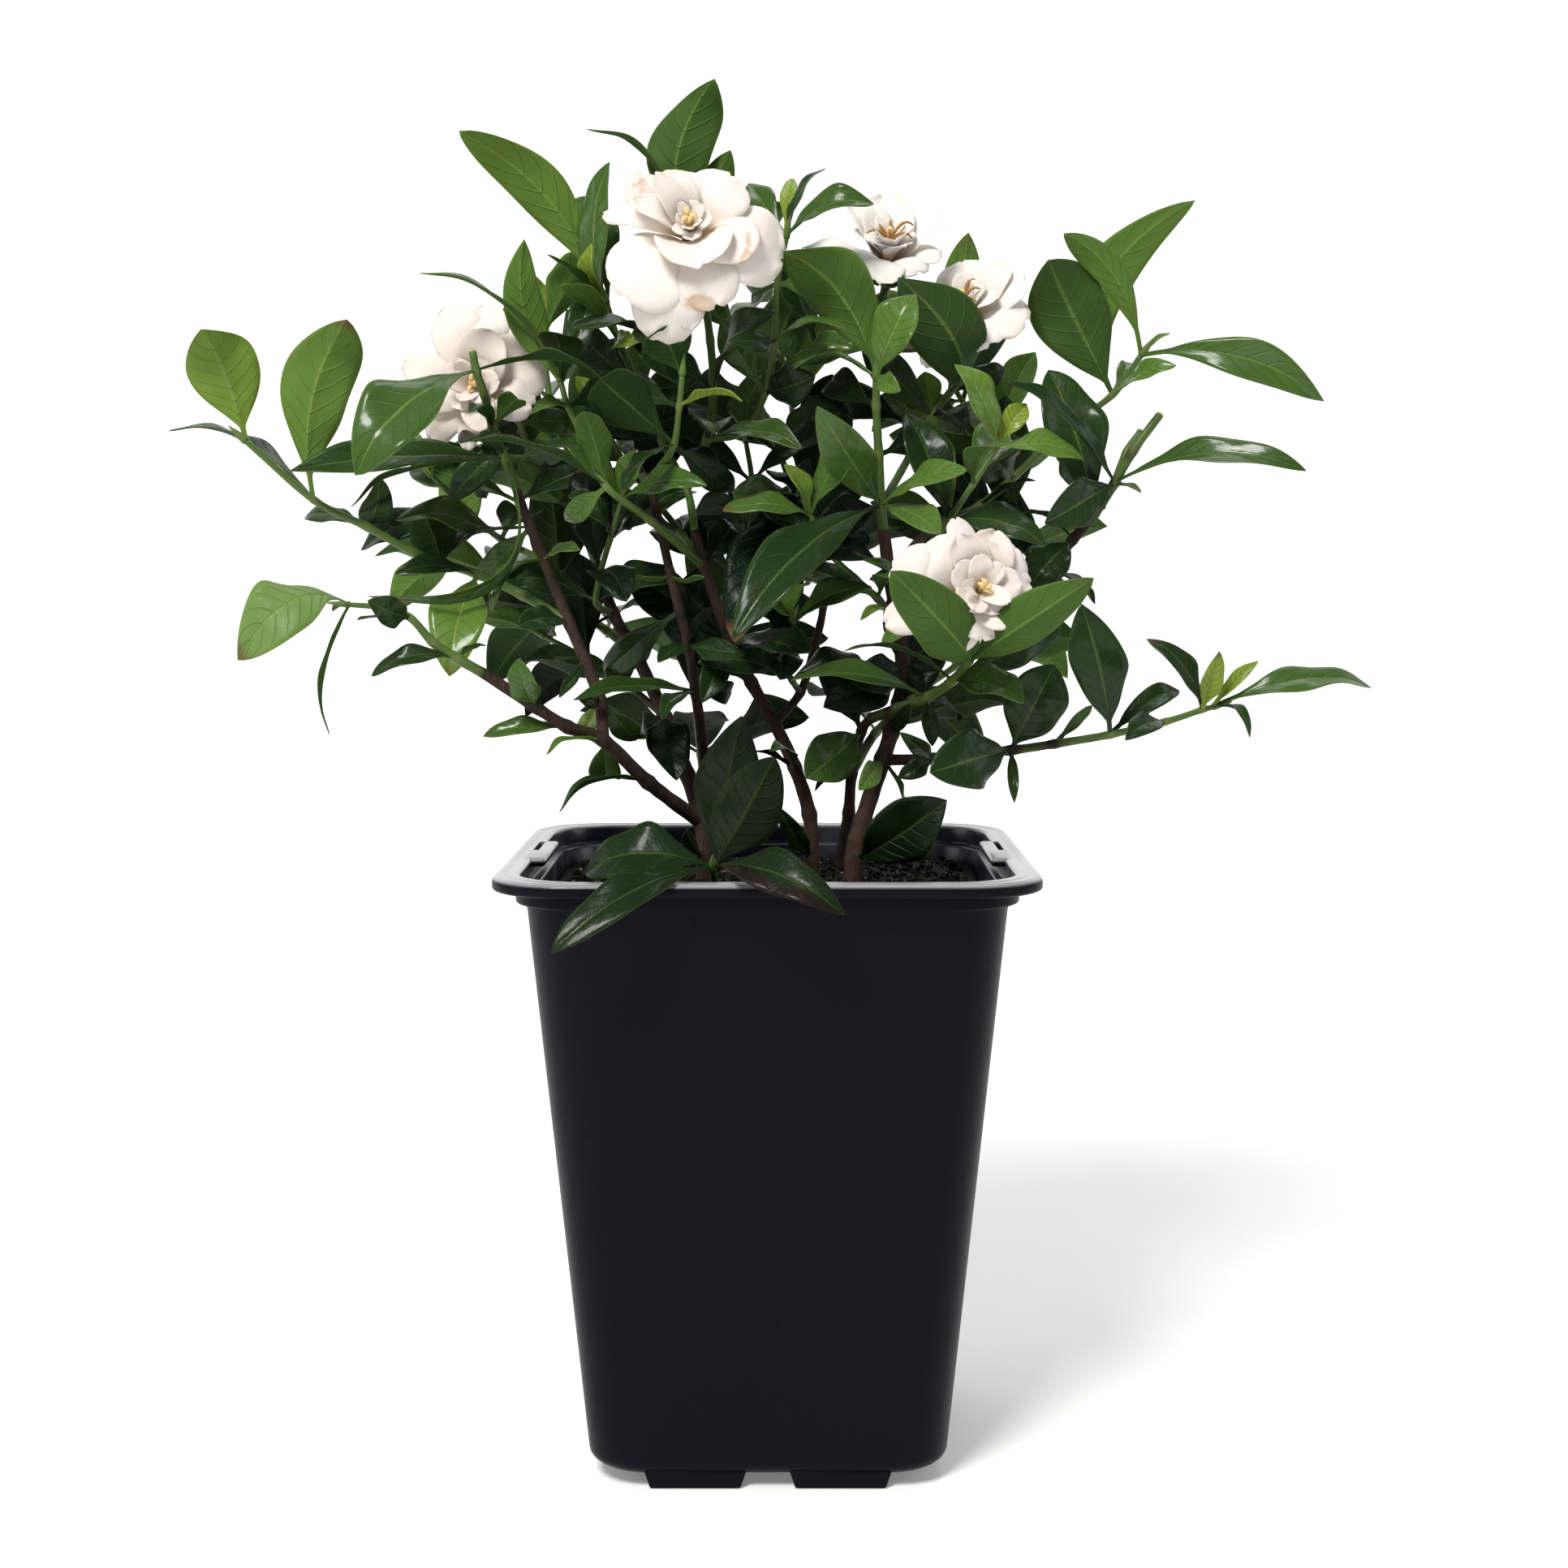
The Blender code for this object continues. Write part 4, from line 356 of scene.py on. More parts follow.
# Leaves bent in front of a flower, by shoot and number: where their tips are along Y, and their arch
BENT = {
    ("shoot_flower_right", 0): (-74, -15), ("shoot_flower_right", 1): (-68, -14), ("shoot_flower_back", 0): (-8, -18),
}

# How a leaf of the frame may have been moved: along Y, and turned about its length. A corner of it counts as found
# within MATCH, and the leaf is there when CORNERS_NEEDED are found.
LEAF_MOVES = [(push, roll) for push in (0, -5, 5, -10, 10, -16, 16, -24, 24) for roll in (0, 14, -14, 28, -28)]
MATCH = 0.06
CORNERS_NEEDED = 3
WAYS = {"U": Vector((0, 0, 1)), "D": Vector((0, 0, -1)), "L": Vector((-1, 0, 0)), "R": Vector((1, 0, 0)),
        "F": Vector((0, -1, 0)), "B": Vector((0, 1, 0))}


# ---------------------------------------------------------------- what a user may change

def colour(name, description, default):
    return FloatVectorProperty(
        name=name, description=description, subtype="COLOR", size=3, min=0.0, max=1.0, default=default
    )


def length(name, description, default):
    return FloatProperty(
        name=name, description=description, unit="LENGTH", min=0.0, precision=5, default=default
    )


class LeafLook(bpy.types.PropertyGroup):
    deep: colour("Deep leaf", "Leaves in the shade inside the shrub", (0.003, 0.010, 0.003))
    dark: colour("Dark leaf", "Upper face of an old leaf", (0.014, 0.038, 0.008))
    mid: colour("Green leaf", "Upper face of a grown leaf", (0.047, 0.102, 0.017))
    bright: colour("Bright leaf", "Upper face of a leaf in its first year", (0.088, 0.175, 0.027))
    young: colour("Young leaf", "Upper face of a leaf at a shoot's end", (0.200, 0.280, 0.030))
    pale: colour("Pale leaf", "Upper face of a pale old leaf", (0.140, 0.230, 0.060))
    vein: colour("Vein", "Midrib, side veins and leaf margin", (0.170, 0.250, 0.055))
    scorch: colour("Scorch", "Dry marks on old leaves", (0.110, 0.060, 0.025))
    thickness: length("Blade thickness", "Thickness of a leaf between its veins", 0.0004)
    quilting: length("Quilting", "Height of the blade's swell between its side veins", 0.0007)
    vein_pairs: IntProperty(name="Vein pairs", description="Side veins on each half of a leaf", min=3, default=9)


class StemLook(bpy.types.PropertyGroup):
    green: colour("Green stem", "Skin of this year's shoots", (0.070, 0.125, 0.025))
    bark: colour("Bark", "Bark of the woody stems", (0.014, 0.008, 0.0055))
    worn: colour("Worn bark", "Ridges and lower parts of the woody stems", (0.055, 0.029, 0.018))
    cut: colour("Cut end", "Wood where a stem was pruned", (0.360, 0.340, 0.170))
    swelling: FloatProperty(
        name="Node swelling", description="How much a stem thickens where leaves stand", min=0.0, default=0.2
    )
    girth: FloatProperty(name="Girth", description="Stem width as a share of the frame's", min=0.1, default=0.8)


class FlowerLook(bpy.types.PropertyGroup):
    petal: colour("Petal", "Open part of a petal", (0.790, 0.750, 0.705))
    blush: colour("Blush", "Tint of a flower that has been open for a while", (0.770, 0.655, 0.585))
    throat: colour("Petal foot", "Cream at the foot of a petal", (0.820, 0.640, 0.410))
    bruise: colour("Bruise", "Brown marks on petal edges", (0.420, 0.230, 0.090))
    stamen: colour("Stamen", "Ripe stamens", (0.330, 0.150, 0.030))
    pollen: colour("Fresh stamen", "Stamens of a fresh flower", (0.780, 0.600, 0.280))
    style: colour("Style", "Club-shaped style in the flower's heart", (0.780, 0.600, 0.260))
    thickness: length("Petal thickness", "Thickness of a petal", 0.0006)


class PotLook(bpy.types.PropertyGroup):
    plastic: colour("Plastic", "Moulded plastic of the pot", (0.0045, 0.0042, 0.0075))
    grain: length("Grain", "Size of the plastic's moulded grain", 0.0006)


class SoilLook(bpy.types.PropertyGroup):
    peat: colour("Peat", "Damp peat", (0.0030, 0.0025, 0.0024))
    fibre: colour("Fibre", "Dry crumbs and fibres in the peat", (0.030, 0.019, 0.012))
    speck: colour("Speck", "Perlite and sand grains", (0.620, 0.610, 0.580))
    crumbs: IntProperty(name="Crumbs", description="Loose crumbs on top of the soil", min=0, default=3800)


class StageLook(bpy.types.PropertyGroup):
    backdrop: colour("Backdrop", "Floor and backdrop", (0.900, 0.900, 0.900))
    height: length("Camera height", "Height of the camera over the floor", 0.3045)
    distance: length("Camera distance", "Distance from the pot's middle to the camera", 0.809)
    pitch: FloatProperty(
        name="Camera pitch", description="How far the camera looks down", subtype="ANGLE", default=math.radians(5.4)
    )
    lens: FloatProperty(name="Lens", description="Focal length", unit="CAMERA", default=54.04)
    key: FloatProperty(name="Key light", description="Power of the main soft box", unit="POWER", default=47.0)
    fill: FloatProperty(name="Fill light", description="Power of each side soft box", unit="POWER", default=5.0)


# ---------------------------------------------------------------- shader maths

class Wire:
    """A shader socket that stands in a Python expression and adds the Math nodes that the expression needs."""

    def __init__(self, graph, socket):
        self.graph = graph
        self.socket = socket

    def math(self, operation, *values, clamp=False):
        settings = {"operation": operation, "use_clamp": clamp}
        return self.graph.node("ShaderNodeMath", settings, dict(enumerate(values)))

    def __add__(self, other):
        return self.math("ADD", self, other)

    def __radd__(self, other):
        return self.math("ADD", other, self)

    def __sub__(self, other):
        return self.math("SUBTRACT", self, other)

    def __rsub__(self, other):
        return self.math("SUBTRACT", other, self)

    def __mul__(self, other):
        return self.math("MULTIPLY", self, other)

    def __rmul__(self, other):
        return self.math("MULTIPLY", other, self)

    def __abs__(self):
        return self.math("ABSOLUTE", self)

    def fraction(self):
        return self.math("FRACT", self)

    def limited(self):
        return self.math("ADD", self, 0.0, clamp=True)

    def between(self, low, high):
        """0 below low, 1 above high and a smooth step from one to the other; the two may be swapped."""
        values = {"Value": self, "From Min": low, "From Max": high, "To Min": 0.0, "To Max": 1.0}
        return self.graph.node("ShaderNodeMapRange", {"interpolation_type": "SMOOTHSTEP"}, values)


class Graph:
    """The nodes of one material, ending in a Principled shader."""

    def __init__(self, name):
        self.material = bpy.data.materials.new(name)
        self.material.use_nodes = True
        self.tree = self.material.node_tree
        self.shader = self.tree.nodes["Principled BSDF"]
        self.place = self.node("ShaderNodeTexCoord", {}, {}, "Object")

    def node(self, kind, settings, values, output=0):
        """Adds a node, makes its settings, then sets or links its sockets, and gives one of its outputs."""
        node = self.tree.nodes.new(kind)
        for key, setting in settings.items():
            setattr(node, key, setting)
        for key, value in values.items():
            self.feed(node.inputs[key], value)
        return Wire(self, node.outputs[output])

    def feed(self, socket, value):
        if isinstance(value, Wire):
            self.tree.links.new(value.socket, socket)
        elif hasattr(socket.default_value, "__len__") and len(socket.default_value) == 4:
            socket.default_value = (*value, 1.0)
        else:
            socket.default_value = value

    def value(self, name):
        """A value that the mesh carries at its points."""
        return self.node("ShaderNodeAttribute", {"attribute_name": name}, {}, "Fac")

    def noise(self, scale, detail=2.0, place=None):
        values = {"Vector": place or self.place, "Scale": scale, "Detail": detail}
        return self.node("ShaderNodeTexNoise", {}, values)

    def cells(self, scale, feature="F1"):
        return self.node("ShaderNodeTexVoronoi", {"feature": feature}, {"Vector": self.place, "Scale": scale})

    def height(self, axis="Z"):
        """One of the object coordinates."""
        return self.node("ShaderNodeSeparateXYZ", {}, {0: self.place}, axis)

    def mix(self, share, first, second, blend="MIX"):
        """Two colours mixed by a share."""
        settings = {"data_type": "RGBA", "blend_type": blend}
        return self.node("ShaderNodeMix", settings, {0: share, 6: first, 7: second}, 2)

    def layers(self, base, *coats):
        """A colour under coats of others, each given as its share and its colour."""
        for share, coat in coats:
            base = self.mix(share, base, coat)
        return base

    def stretched(self, scale):
        """Object coordinates scaled by three factors."""
        return self.node("ShaderNodeVectorMath", {"operation": "MULTIPLY"}, {0: self.place, 1: scale})

    def bump(self, height, distance, strength=1.0):
        return self.node("ShaderNodeBump", {}, {"Height": height, "Distance": distance, "Strength": strength})

    def finish(self, **sockets):
        """Sets the Principled shader's sockets, named with underscores for spaces."""
        for key, value in sockets.items():
            self.feed(self.shader.inputs[key.replace("_", " ")], value)
        return self.material


def vein_ray(along, across, pairs):
    """A value that passes a whole number at each side vein; across is the distance from the midrib."""
    return along * pairs - across * 1.1 - across * across * 0.6


def leaf_material(look):
    """Glossy above with sunken veins, matt and paler below with raised ones."""
    graph = Graph("gardenia_leaf")
    along, side = graph.value("leaf_along"), graph.value("leaf_across")
    across = abs(side)
    under, tone, chance = graph.value("leaf_under"), graph.value("leaf_tone"), graph.value("leaf_chance")
    ray = vein_ray(along, across, look.vein_pairs).fraction()
    side_vein = abs(ray * 2 - 1).between(0.80, 0.98) * across.between(1.0, 0.7) * along.between(0.1, 0.2)
    midrib = across.between(0.075, 0.025)
    cloud = graph.noise(55.0, 3.0)
    fine = graph.noise(420.0, 2.0)
    net = graph.cells(700.0, "DISTANCE_TO_EDGE").between(0.0, 0.12)

    tones = (look.dark, look.mid, look.bright, look.young, look.pale)
    # Tones under 0 fall to the deep colour: painted shade inside and under the shrub.
    body = graph.layers(look.deep, *[((tone + 1 - step).limited(), colour) for step, colour in enumerate(tones)])
    body = graph.mix((cloud * 1.3 - 0.3).limited() * 0.45, body, (0.35, 0.45, 0.30), "MULTIPLY")
    pale = (tone * 0.3 + 0.4).limited()
    above = graph.layers(body, (midrib * pale * 0.7, look.vein), (side_vein * pale * 0.15, look.vein))
    below = graph.layers(
        body, (pale * 0.12, (0.12, 0.19, 0.04)), (side_vein * pale * 0.2, look.vein), (midrib * pale * 0.7, look.vein)
    )
    dry = graph.noise(95.0, 4.0).between(0.62, 0.72) * chance.between(0.80, 0.95) * tone.between(1.5, 0.5)
    tip_scorch = (along + cloud * 0.25).between(1.03, 1.12) * chance.between(0.75, 0.9)
    withered = graph.value("leaf_dry") * (side + (cloud - 0.5) * 1.5).between(0.0, 0.35)
    skin = graph.layers(
        graph.mix(under, above, below), (across.between(0.92, 0.99) * pale * 0.45, look.vein),
        ((dry * 0.6 + tip_scorch).limited() * 0.8, look.scorch), (withered, (0.012, 0.008, 0.005)),
    )

    gloss = (cloud * 0.9 - 0.15).limited() * (tone * 0.4 + 0.6).limited() * tone.between(4.4, 1.6)
    shine = 0.26 + cloud * 0.16 + side_vein * 0.06 + tone * 0.015
    roughness = shine + under * (0.62 - shine)
    relief = (1 - under * 2) * (0 - side_vein * 1.1 - midrib * 0.8) + net * 0.10 + fine * 0.18
    return graph.finish(
        Base_Color=skin, Roughness=roughness, Coat_Weight=(1 - under) * gloss, Coat_Roughness=0.14,
        Specular_IOR_Level=0.12, Normal=graph.bump(relief, 0.00035, 0.8),
    )


def stem_material(look):
    """Green and smooth on new wood, brown and cracked on old wood, with rings at the nodes."""
    graph = Graph("gardenia_stem")
    age, ring, height = graph.value("stem_age"), graph.value("stem_node"), graph.value("stem_height")
    long_grain = graph.noise(1.0, 4.0, graph.stretched((900.0, 900.0, 110.0)))
    patches = graph.noise(120.0, 3.0)
    pores = graph.cells(650.0).between(0.22, 0.05)
    woody = (age + (patches - 0.5) * 0.7).between(0.32, 0.62)
    bark = graph.layers(
        look.bark, ((long_grain * 1.6 - 0.35).limited(), look.worn),
        (patches.between(0.5, 0.7) * 0.7, (0.008, 0.006, 0.005)), (height.between(0.55, 0.1) * 0.25, look.worn),
    )
    shadow, new_ring = (0.040, 0.085, 0.016), (0.170, 0.200, 0.060)
    skin = graph.layers(
        look.green, ((patches * 1.3 - 0.3).limited() * 0.6, shadow), (ring * 0.4, new_ring), (woody, bark),
        (pores * woody * 0.4, (0.11, 0.08, 0.05)), (age.between(1.6, 1.9), look.cut),
    )
    relief = woody * (long_grain * 0.9 + pores * 0.5) + graph.noise(500.0) * 0.2 + ring * 0.15
    return graph.finish(
        Base_Color=skin, Roughness=0.42 + woody * 0.35, Specular_IOR_Level=0.25,
        Normal=graph.bump(relief, 0.0006, 0.9),
    )


def petal_material(look):
    """Waxy white with a cream foot, faint long veins, a few bruised edges and a pinker rim of painted shade."""
    graph = Graph("gardenia_petal")
    along, across = graph.value("petal_along"), graph.value("petal_across")
    blush, chance = graph.value("petal_blush"), graph.value("petal_chance")
    stain = graph.value("petal_stain")
    cloud = graph.noise(70.0, 3.0)
    lines = abs((across * 9 + cloud * 1.2).fraction() * 2 - 1)
    rim = (along + abs(across) * 0.35 + (cloud - 0.5) * 0.5).between(1.12, 1.25)
    mark = graph.noise(130.0, 3.0).between(0.56, 0.66) * chance.between(0.72, 0.90)
    marks = rim * chance.between(0.5, 1.0) * 0.3 + mark * along.between(0.75, 0.95) * 0.7
    marks = marks + (stain + (cloud - 0.5) * 0.5).between(0.25, 0.6) * stain.between(0.05, 0.3) * 0.6
    skin = graph.layers(
        look.petal, ((blush * (0.55 + cloud * 0.7)).limited(), look.blush),
        (along.between(0.62, 0.15) * 0.8, look.throat), (marks.limited(), look.bruise),
        # A pinker rim in the blush colour is painted shade that outlines each petal.
        (along.between(0.88, 1.0) * 0.35, look.blush),
    )
    relief = lines * 0.08 + graph.noise(300.0) * 0.4 + cloud * 0.9
    return graph.finish(
        Base_Color=skin, Roughness=0.55 + cloud * 0.1, Subsurface_Weight=0.15, Subsurface_Scale=0.002,
        Subsurface_Radius=(1.0, 0.75, 0.5), Specular_IOR_Level=0.25, Normal=graph.bump(relief, 0.0004, 0.7),
    )


def heart_material(look):
    """Ripe stamens, and the paler style between them."""
    graph = Graph("gardenia_heart")
    style, ripe = graph.value("heart_style"), graph.value("heart_ripe")
    dust = graph.noise(1400.0, 2.0)
    powder = (dust.between(0.5, 0.7) * 0.4, (0.70, 0.52, 0.20))
    skin = graph.layers(look.pollen, (ripe, look.stamen), (style, look.style), powder)
    return graph.finish(Base_Color=skin, Roughness=0.75, Normal=graph.bump(dust, 0.0002, 0.8))


def plastic_material(look):
    """Near-black moulded plastic with a fine satin grain and a little dust, with painted reflection on the flange top
    and the inner walls.
    """
    graph = Graph("pot_plastic")
    grain = graph.noise(1.0 / look.grain, 2.0)
    cloud = graph.noise(14.0, 4.0)
    scuffs = graph.noise(1.0, 3.0, graph.stretched((420.0, 420.0, 30.0))).between(0.60, 0.74)
    dust = graph.noise(900.0, 3.0).between(0.70, 0.78) * cloud.between(0.45, 0.65)
    z = graph.height()
    facing = graph.node("ShaderNodeNewGeometry", {}, {}, "Normal")
    level = graph.stretched((1.0, 1.0, 0.0))
    outward = graph.node("ShaderNodeVectorMath", {"operation": "DOT_PRODUCT"}, {0: facing, 1: level}, "Value")
    # Inner walls near the rim take a lighter navy: painted reflection of the bright room.
    inside = outward.between(0.0, -0.01) * z.between(0.180, 0.188)
    # The flange top, with its tabs, is painted light grey: a painted reflection of the bright room.
    flange = z.between(0.2035, 0.2047)
    # Whitish patches of painted reflection on the inner walls.
    painted_glare = graph.noise(38.0, 4.0).between(0.48, 0.66)
    skin = graph.layers(
        look.plastic, (cloud.between(0.35, 0.75) * 0.5, (0.0050, 0.0050, 0.0120)),
        (inside * 0.8, (0.012, 0.013, 0.030)), (inside * painted_glare * 0.7, (0.14, 0.145, 0.17)),
        (flange * (0.55 + cloud * 0.5), (0.40, 0.40, 0.42)), (dust * 0.3, (0.06, 0.055, 0.05)),
    )
    return graph.finish(
        Base_Color=skin, Roughness=0.30 + cloud * 0.10 + scuffs * 0.05 + dust * 0.2, Specular_IOR_Level=0.055,
        Coat_Weight=(flange + inside * 0.6).limited(), Coat_Roughness=0.22,
        Normal=graph.bump(grain * 0.8 + scuffs * 0.3, 0.00008, 0.5),
    )


def soil_material(look):
    """Damp black peat with dry fibres and pale specks."""
    graph = Graph("peat_soil")
    speck, chance = graph.value("soil_speck"), graph.value("soil_chance")
    crumbs = graph.noise(900.0, 5.0)
    clods = graph.noise(160.0, 3.0)
    grit = graph.cells(1500.0).between(0.16, 0.06) * graph.noise(700.0).between(0.56, 0.62)
    skin = graph.layers(
        look.peat, (crumbs.between(0.52, 0.72) * 0.6, look.fibre), (chance.between(0.80, 0.95) * 0.7, look.fibre),
        ((speck + grit * 0.8).limited(), look.speck),
    )
    relief = crumbs + clods * 0.8 + graph.cells(500.0) * 0.6
    return graph.finish(
        Base_Color=skin, Roughness=0.9 - crumbs * 0.35, Specular_IOR_Level=0.1,
        Normal=graph.bump(relief, 0.0012, 1.0),
    )


def stage_material(look):
    """Matt and pale, with a glow that grows towards the back."""
    graph = Graph("studio_backdrop")
    glow = graph.mix(graph.height("Y").between(0.3, 2.0), (0.3, 0.3, 0.3), (1.0, 1.0, 1.0))
    return graph.finish(
        Base_Color=look.backdrop, Roughness=0.9, Emission_Color=glow, Emission_Strength=0.6, Specular_IOR_Level=0.1
    )


# ---------------------------------------------------------------- meshes

class Surface:
    """Points in millimetres, faces and point values gathered for one mesh."""

    def __init__(self, *names):
        self.points = []
        self.faces = []
        self.values = {name: [] for name in names}
        self.count = 0

    def add(self, points, faces, **values):
        """Adds points with blocks of faces over them. A value that isn't given is 0."""
        points = np.asarray(points, float).reshape(-1, 3)
        self.points.append(points)
        for block in faces:
            self.faces += (np.asarray(block) + self.count).tolist()
        for name, stored in self.values.items():
            stored.append(np.broadcast_to(np.asarray(values.get(name, 0.0), float).ravel(), len(points)))
        self.count += len(points)

    def add_sheet(self, top, bottom, **values):
        """A closed sheet between two grids of points. values are grids, or single numbers."""
        rows, columns = top.shape[:2]
        index = np.arange(rows * columns).reshape(rows, columns)
        low = index + rows * columns

        def quads(a, b, c, d):
            return np.stack([a, b, c, d], axis=-1).reshape(-1, 4)

        faces = np.concatenate([
            quads(index[:-1, :-1], index[:-1, 1:], index[1:, 1:], index[1:, :-1]),
            quads(low[:-1, :-1], low[1:, :-1], low[1:, 1:], low[:-1, 1:]),
            quads(index[:-1, 0], index[1:, 0], low[1:, 0], low[:-1, 0]),
            quads(index[1:, -1], index[:-1, -1], low[:-1, -1], low[1:, -1]),
            quads(index[0, 1:], index[0, :-1], low[0, :-1], low[0, 1:]),
            quads(index[-1, :-1], index[-1, 1:], low[-1, 1:], low[-1, :-1]),
        ])
        r, c = rows // 2, columns // 2
        normal = np.cross(top[r, c + 1] - top[r, c], top[r + 1, c] - top[r, c])
        if np.dot(normal, top[r, c] - bottom[r, c]) < 0:
            faces = faces[:, ::-1]
        both = {name: np.tile(np.broadcast_to(value, (rows, columns)).ravel(), 2) for name, value in values.items()}
        both["under"] = np.repeat([0.0, 1.0], rows * columns)
        both = {name: both.get(name.split("_", 1)[1], 0.0) for name in self.values}
        self.add(np.concatenate([top.reshape(-1, 3), bottom.reshape(-1, 3)]), [faces], **both)

    def add_rings(self, rings, ends, **values):
        """A skin over a row of rings, closed by a fan about each end. values are numbers, or one for each ring."""
        count, size = len(rings), len(rings[0])
        index = np.arange(count * size).reshape(count, size)
        after = np.roll(index, -1, axis=1)
        walls = np.stack([index[:-1], after[:-1], after[1:], index[1:]], axis=-1).reshape(-1, 4)
        caps = [(after[0, i], index[0, i], count * size) for i in range(size)]
        caps += [(index[-1, i], after[-1, i], count * size + 1) for i in range(size)]
        spread = {}
        for name, value in values.items():
            steps = np.broadcast_to(np.asarray(value, float), count)
            spread[name] = np.concatenate([np.repeat(steps, size), steps[[0, -1]]])
        self.add(np.concatenate([*rings, ends]), [walls, np.array(caps)], **spread)

    def add_tube(self, path, radii, sides=10, **values):
        """A tube with closed round ends. values are numbers, or one for each point of the path."""
        path = np.asarray(path, float)
        radii = np.asarray(radii, float)
        ahead = np.gradient(path, axis=0)
        ahead /= np.linalg.norm(ahead, axis=1)[:, None]
        across = np.cross(ahead[0], (0.31, 0.87, 0.37))
        rings = []
        for direction, centre, radius in zip(ahead, path, radii):
            across = across - direction * across.dot(direction)
            across /= np.linalg.norm(across)
            other = np.cross(direction, across)
            turn = np.linspace(0, 2 * np.pi, sides, endpoint=False)[:, None]
            rings.append(centre + radius * (np.cos(turn) * across + np.sin(turn) * other))
        ends = np.array([path[0] - ahead[0] * radii[0] * 0.4, path[-1] + ahead[-1] * radii[-1] * 0.4])
        self.add_rings(rings, ends, **values)

    def make(self, name, material):
        """The mesh of everything gathered, as an object in the scene."""
        mesh = bpy.data.meshes.new(name)
        mesh.from_pydata((np.concatenate(self.points) * MM).tolist(), [], self.faces)
        for key, stored in self.values.items():
            layer = mesh.attributes.new(key, "FLOAT", "POINT")
            layer.data.foreach_set("value", np.concatenate(stored).astype(np.float32))
        mesh.materials.append(material)
        mesh.shade_smooth()
        mesh.update()
        piece = bpy.data.objects.new(name, mesh)
        bpy.context.scene.collection.objects.link(piece)
        return piece


def stand_in(piece, slot, *nodes):
    """Puts a piece in the place of the frame's nodes. slot is not used."""
    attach(piece, BODY)
    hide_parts(*nodes)


def smooth(t, low, high):
    """A smooth step from 0 at low to 1 at high."""
    t = np.clip((np.asarray(t, float) - low) / (high - low), 0, 1)
    return t * t * (3 - 2 * t)


def rounded_path(points, spacing=1.6):
    """Points at an even spacing on a Catmull-Rom curve, with the places of the given points among them."""
    points = [np.array(point, float) for point in points]
    padded = [2 * points[0] - points[1], *points, 2 * points[-1] - points[-2]]
    path, nodes = [], []
    for a, b, c, d in zip(padded, padded[1:], padded[2:], padded[3:]):
        nodes.append(len(path))
        steps = max(2, round(float(np.linalg.norm(c - b)) / spacing))
        for t in np.arange(steps) / steps:
            bend = (2 * a - 5 * b + 4 * c - d) * t**2 + (3 * b - a - 3 * c + d) * t**3
            path.append(0.5 * (2 * b + (c - a) * t + bend))
    nodes.append(len(path))
    return np.array([*path, points[-1]]), nodes


# ---------------------------------------------------------------- the plant's plan

def shoot_points(shoot, shoots):
    """The shoot's own points, the first of them on its parent."""
    points = [Vector(point) for point in shoot.path]
    if not shoot.parent:
        points[0].z -= ROOTED_DEPTH
        return points
    return [shoot_points(shoots[shoot.parent], shoots)[shoot.joint], *points]


def paired_leaves(points, size, way):
    """Leaves in crossed pairs along a path, with a young one at its end."""
    leaves = []
    for i in range(1, len(points)):
        along = (points[min(i + 1, len(points) - 1)] - points[i - 1]).normalized()
        level = along.cross(WAYS["U"]).normalized()
        pair = level if i % 2 else level.cross(along)
        last = i == len(points) - 1
        for side in (1, -1):
            length = size * PAIR_LENGTHS[(2 * i + side) % len(PAIR_LENGTHS)] * (0.8 if last else 1.0)
            out = (pair * side + along * 0.55 + WAYS[way] * 0.2).normalized()
            tip = points[i] + out * length
            tone = 2 if last else i % 2
            leaves.append(Leaf(i, tuple(tip), round(length * PAIR_SHAPE), "U" + way, 4, 8, tone))
    along = (points[-1] - points[-2]).normalized()
    tip = points[-1] + along * END_LEAF[0] * size
    leaves.append(Leaf(len(points) - 1, tuple(tip), END_LEAF[1], "U" + way, 2, 12, 3))
    return leaves


def all_shoots():
    """Every shoot by its name, each with its leaves."""
    shoots = {shoot.name: shoot._replace(leaves=[Leaf(*row) for row in shoot.leaves]) for shoot in SHOOTS}
    for shoot in TWIGS:
        shoots[shoot.name] = shoot
    for shoot in TWIGS:
        leaves = paired_leaves(shoot_points(shoot, shoots), *shoot.leaves)
        shoots[shoot.name] = shoot._replace(leaves=leaves)
    return shoots


def blade_axes(base, tip, ways, roll):
    """Length direction, upward normal and side of a blade that looks the given ways as far as it can."""
    along = tip - base
    up = sum((WAYS[way] for way in ways), Vector())
    up -= along * up.dot(along) / along.length_squared
    if up.length < 0.1:
        up = along.cross(Vector((0, 1, 0)))
    up = Matrix.Rotation(math.radians(roll), 3, along) @ up.normalized()
    return along, up, along.normalized().cross(up)


def frame_outline(t):
    """Share of the half width at t along one of the frame's leaves."""
    u = (t - PETIOLE) / (1 - PETIOLE)
    return u**0.9 * (1 - u) ** 0.62 / 0.358


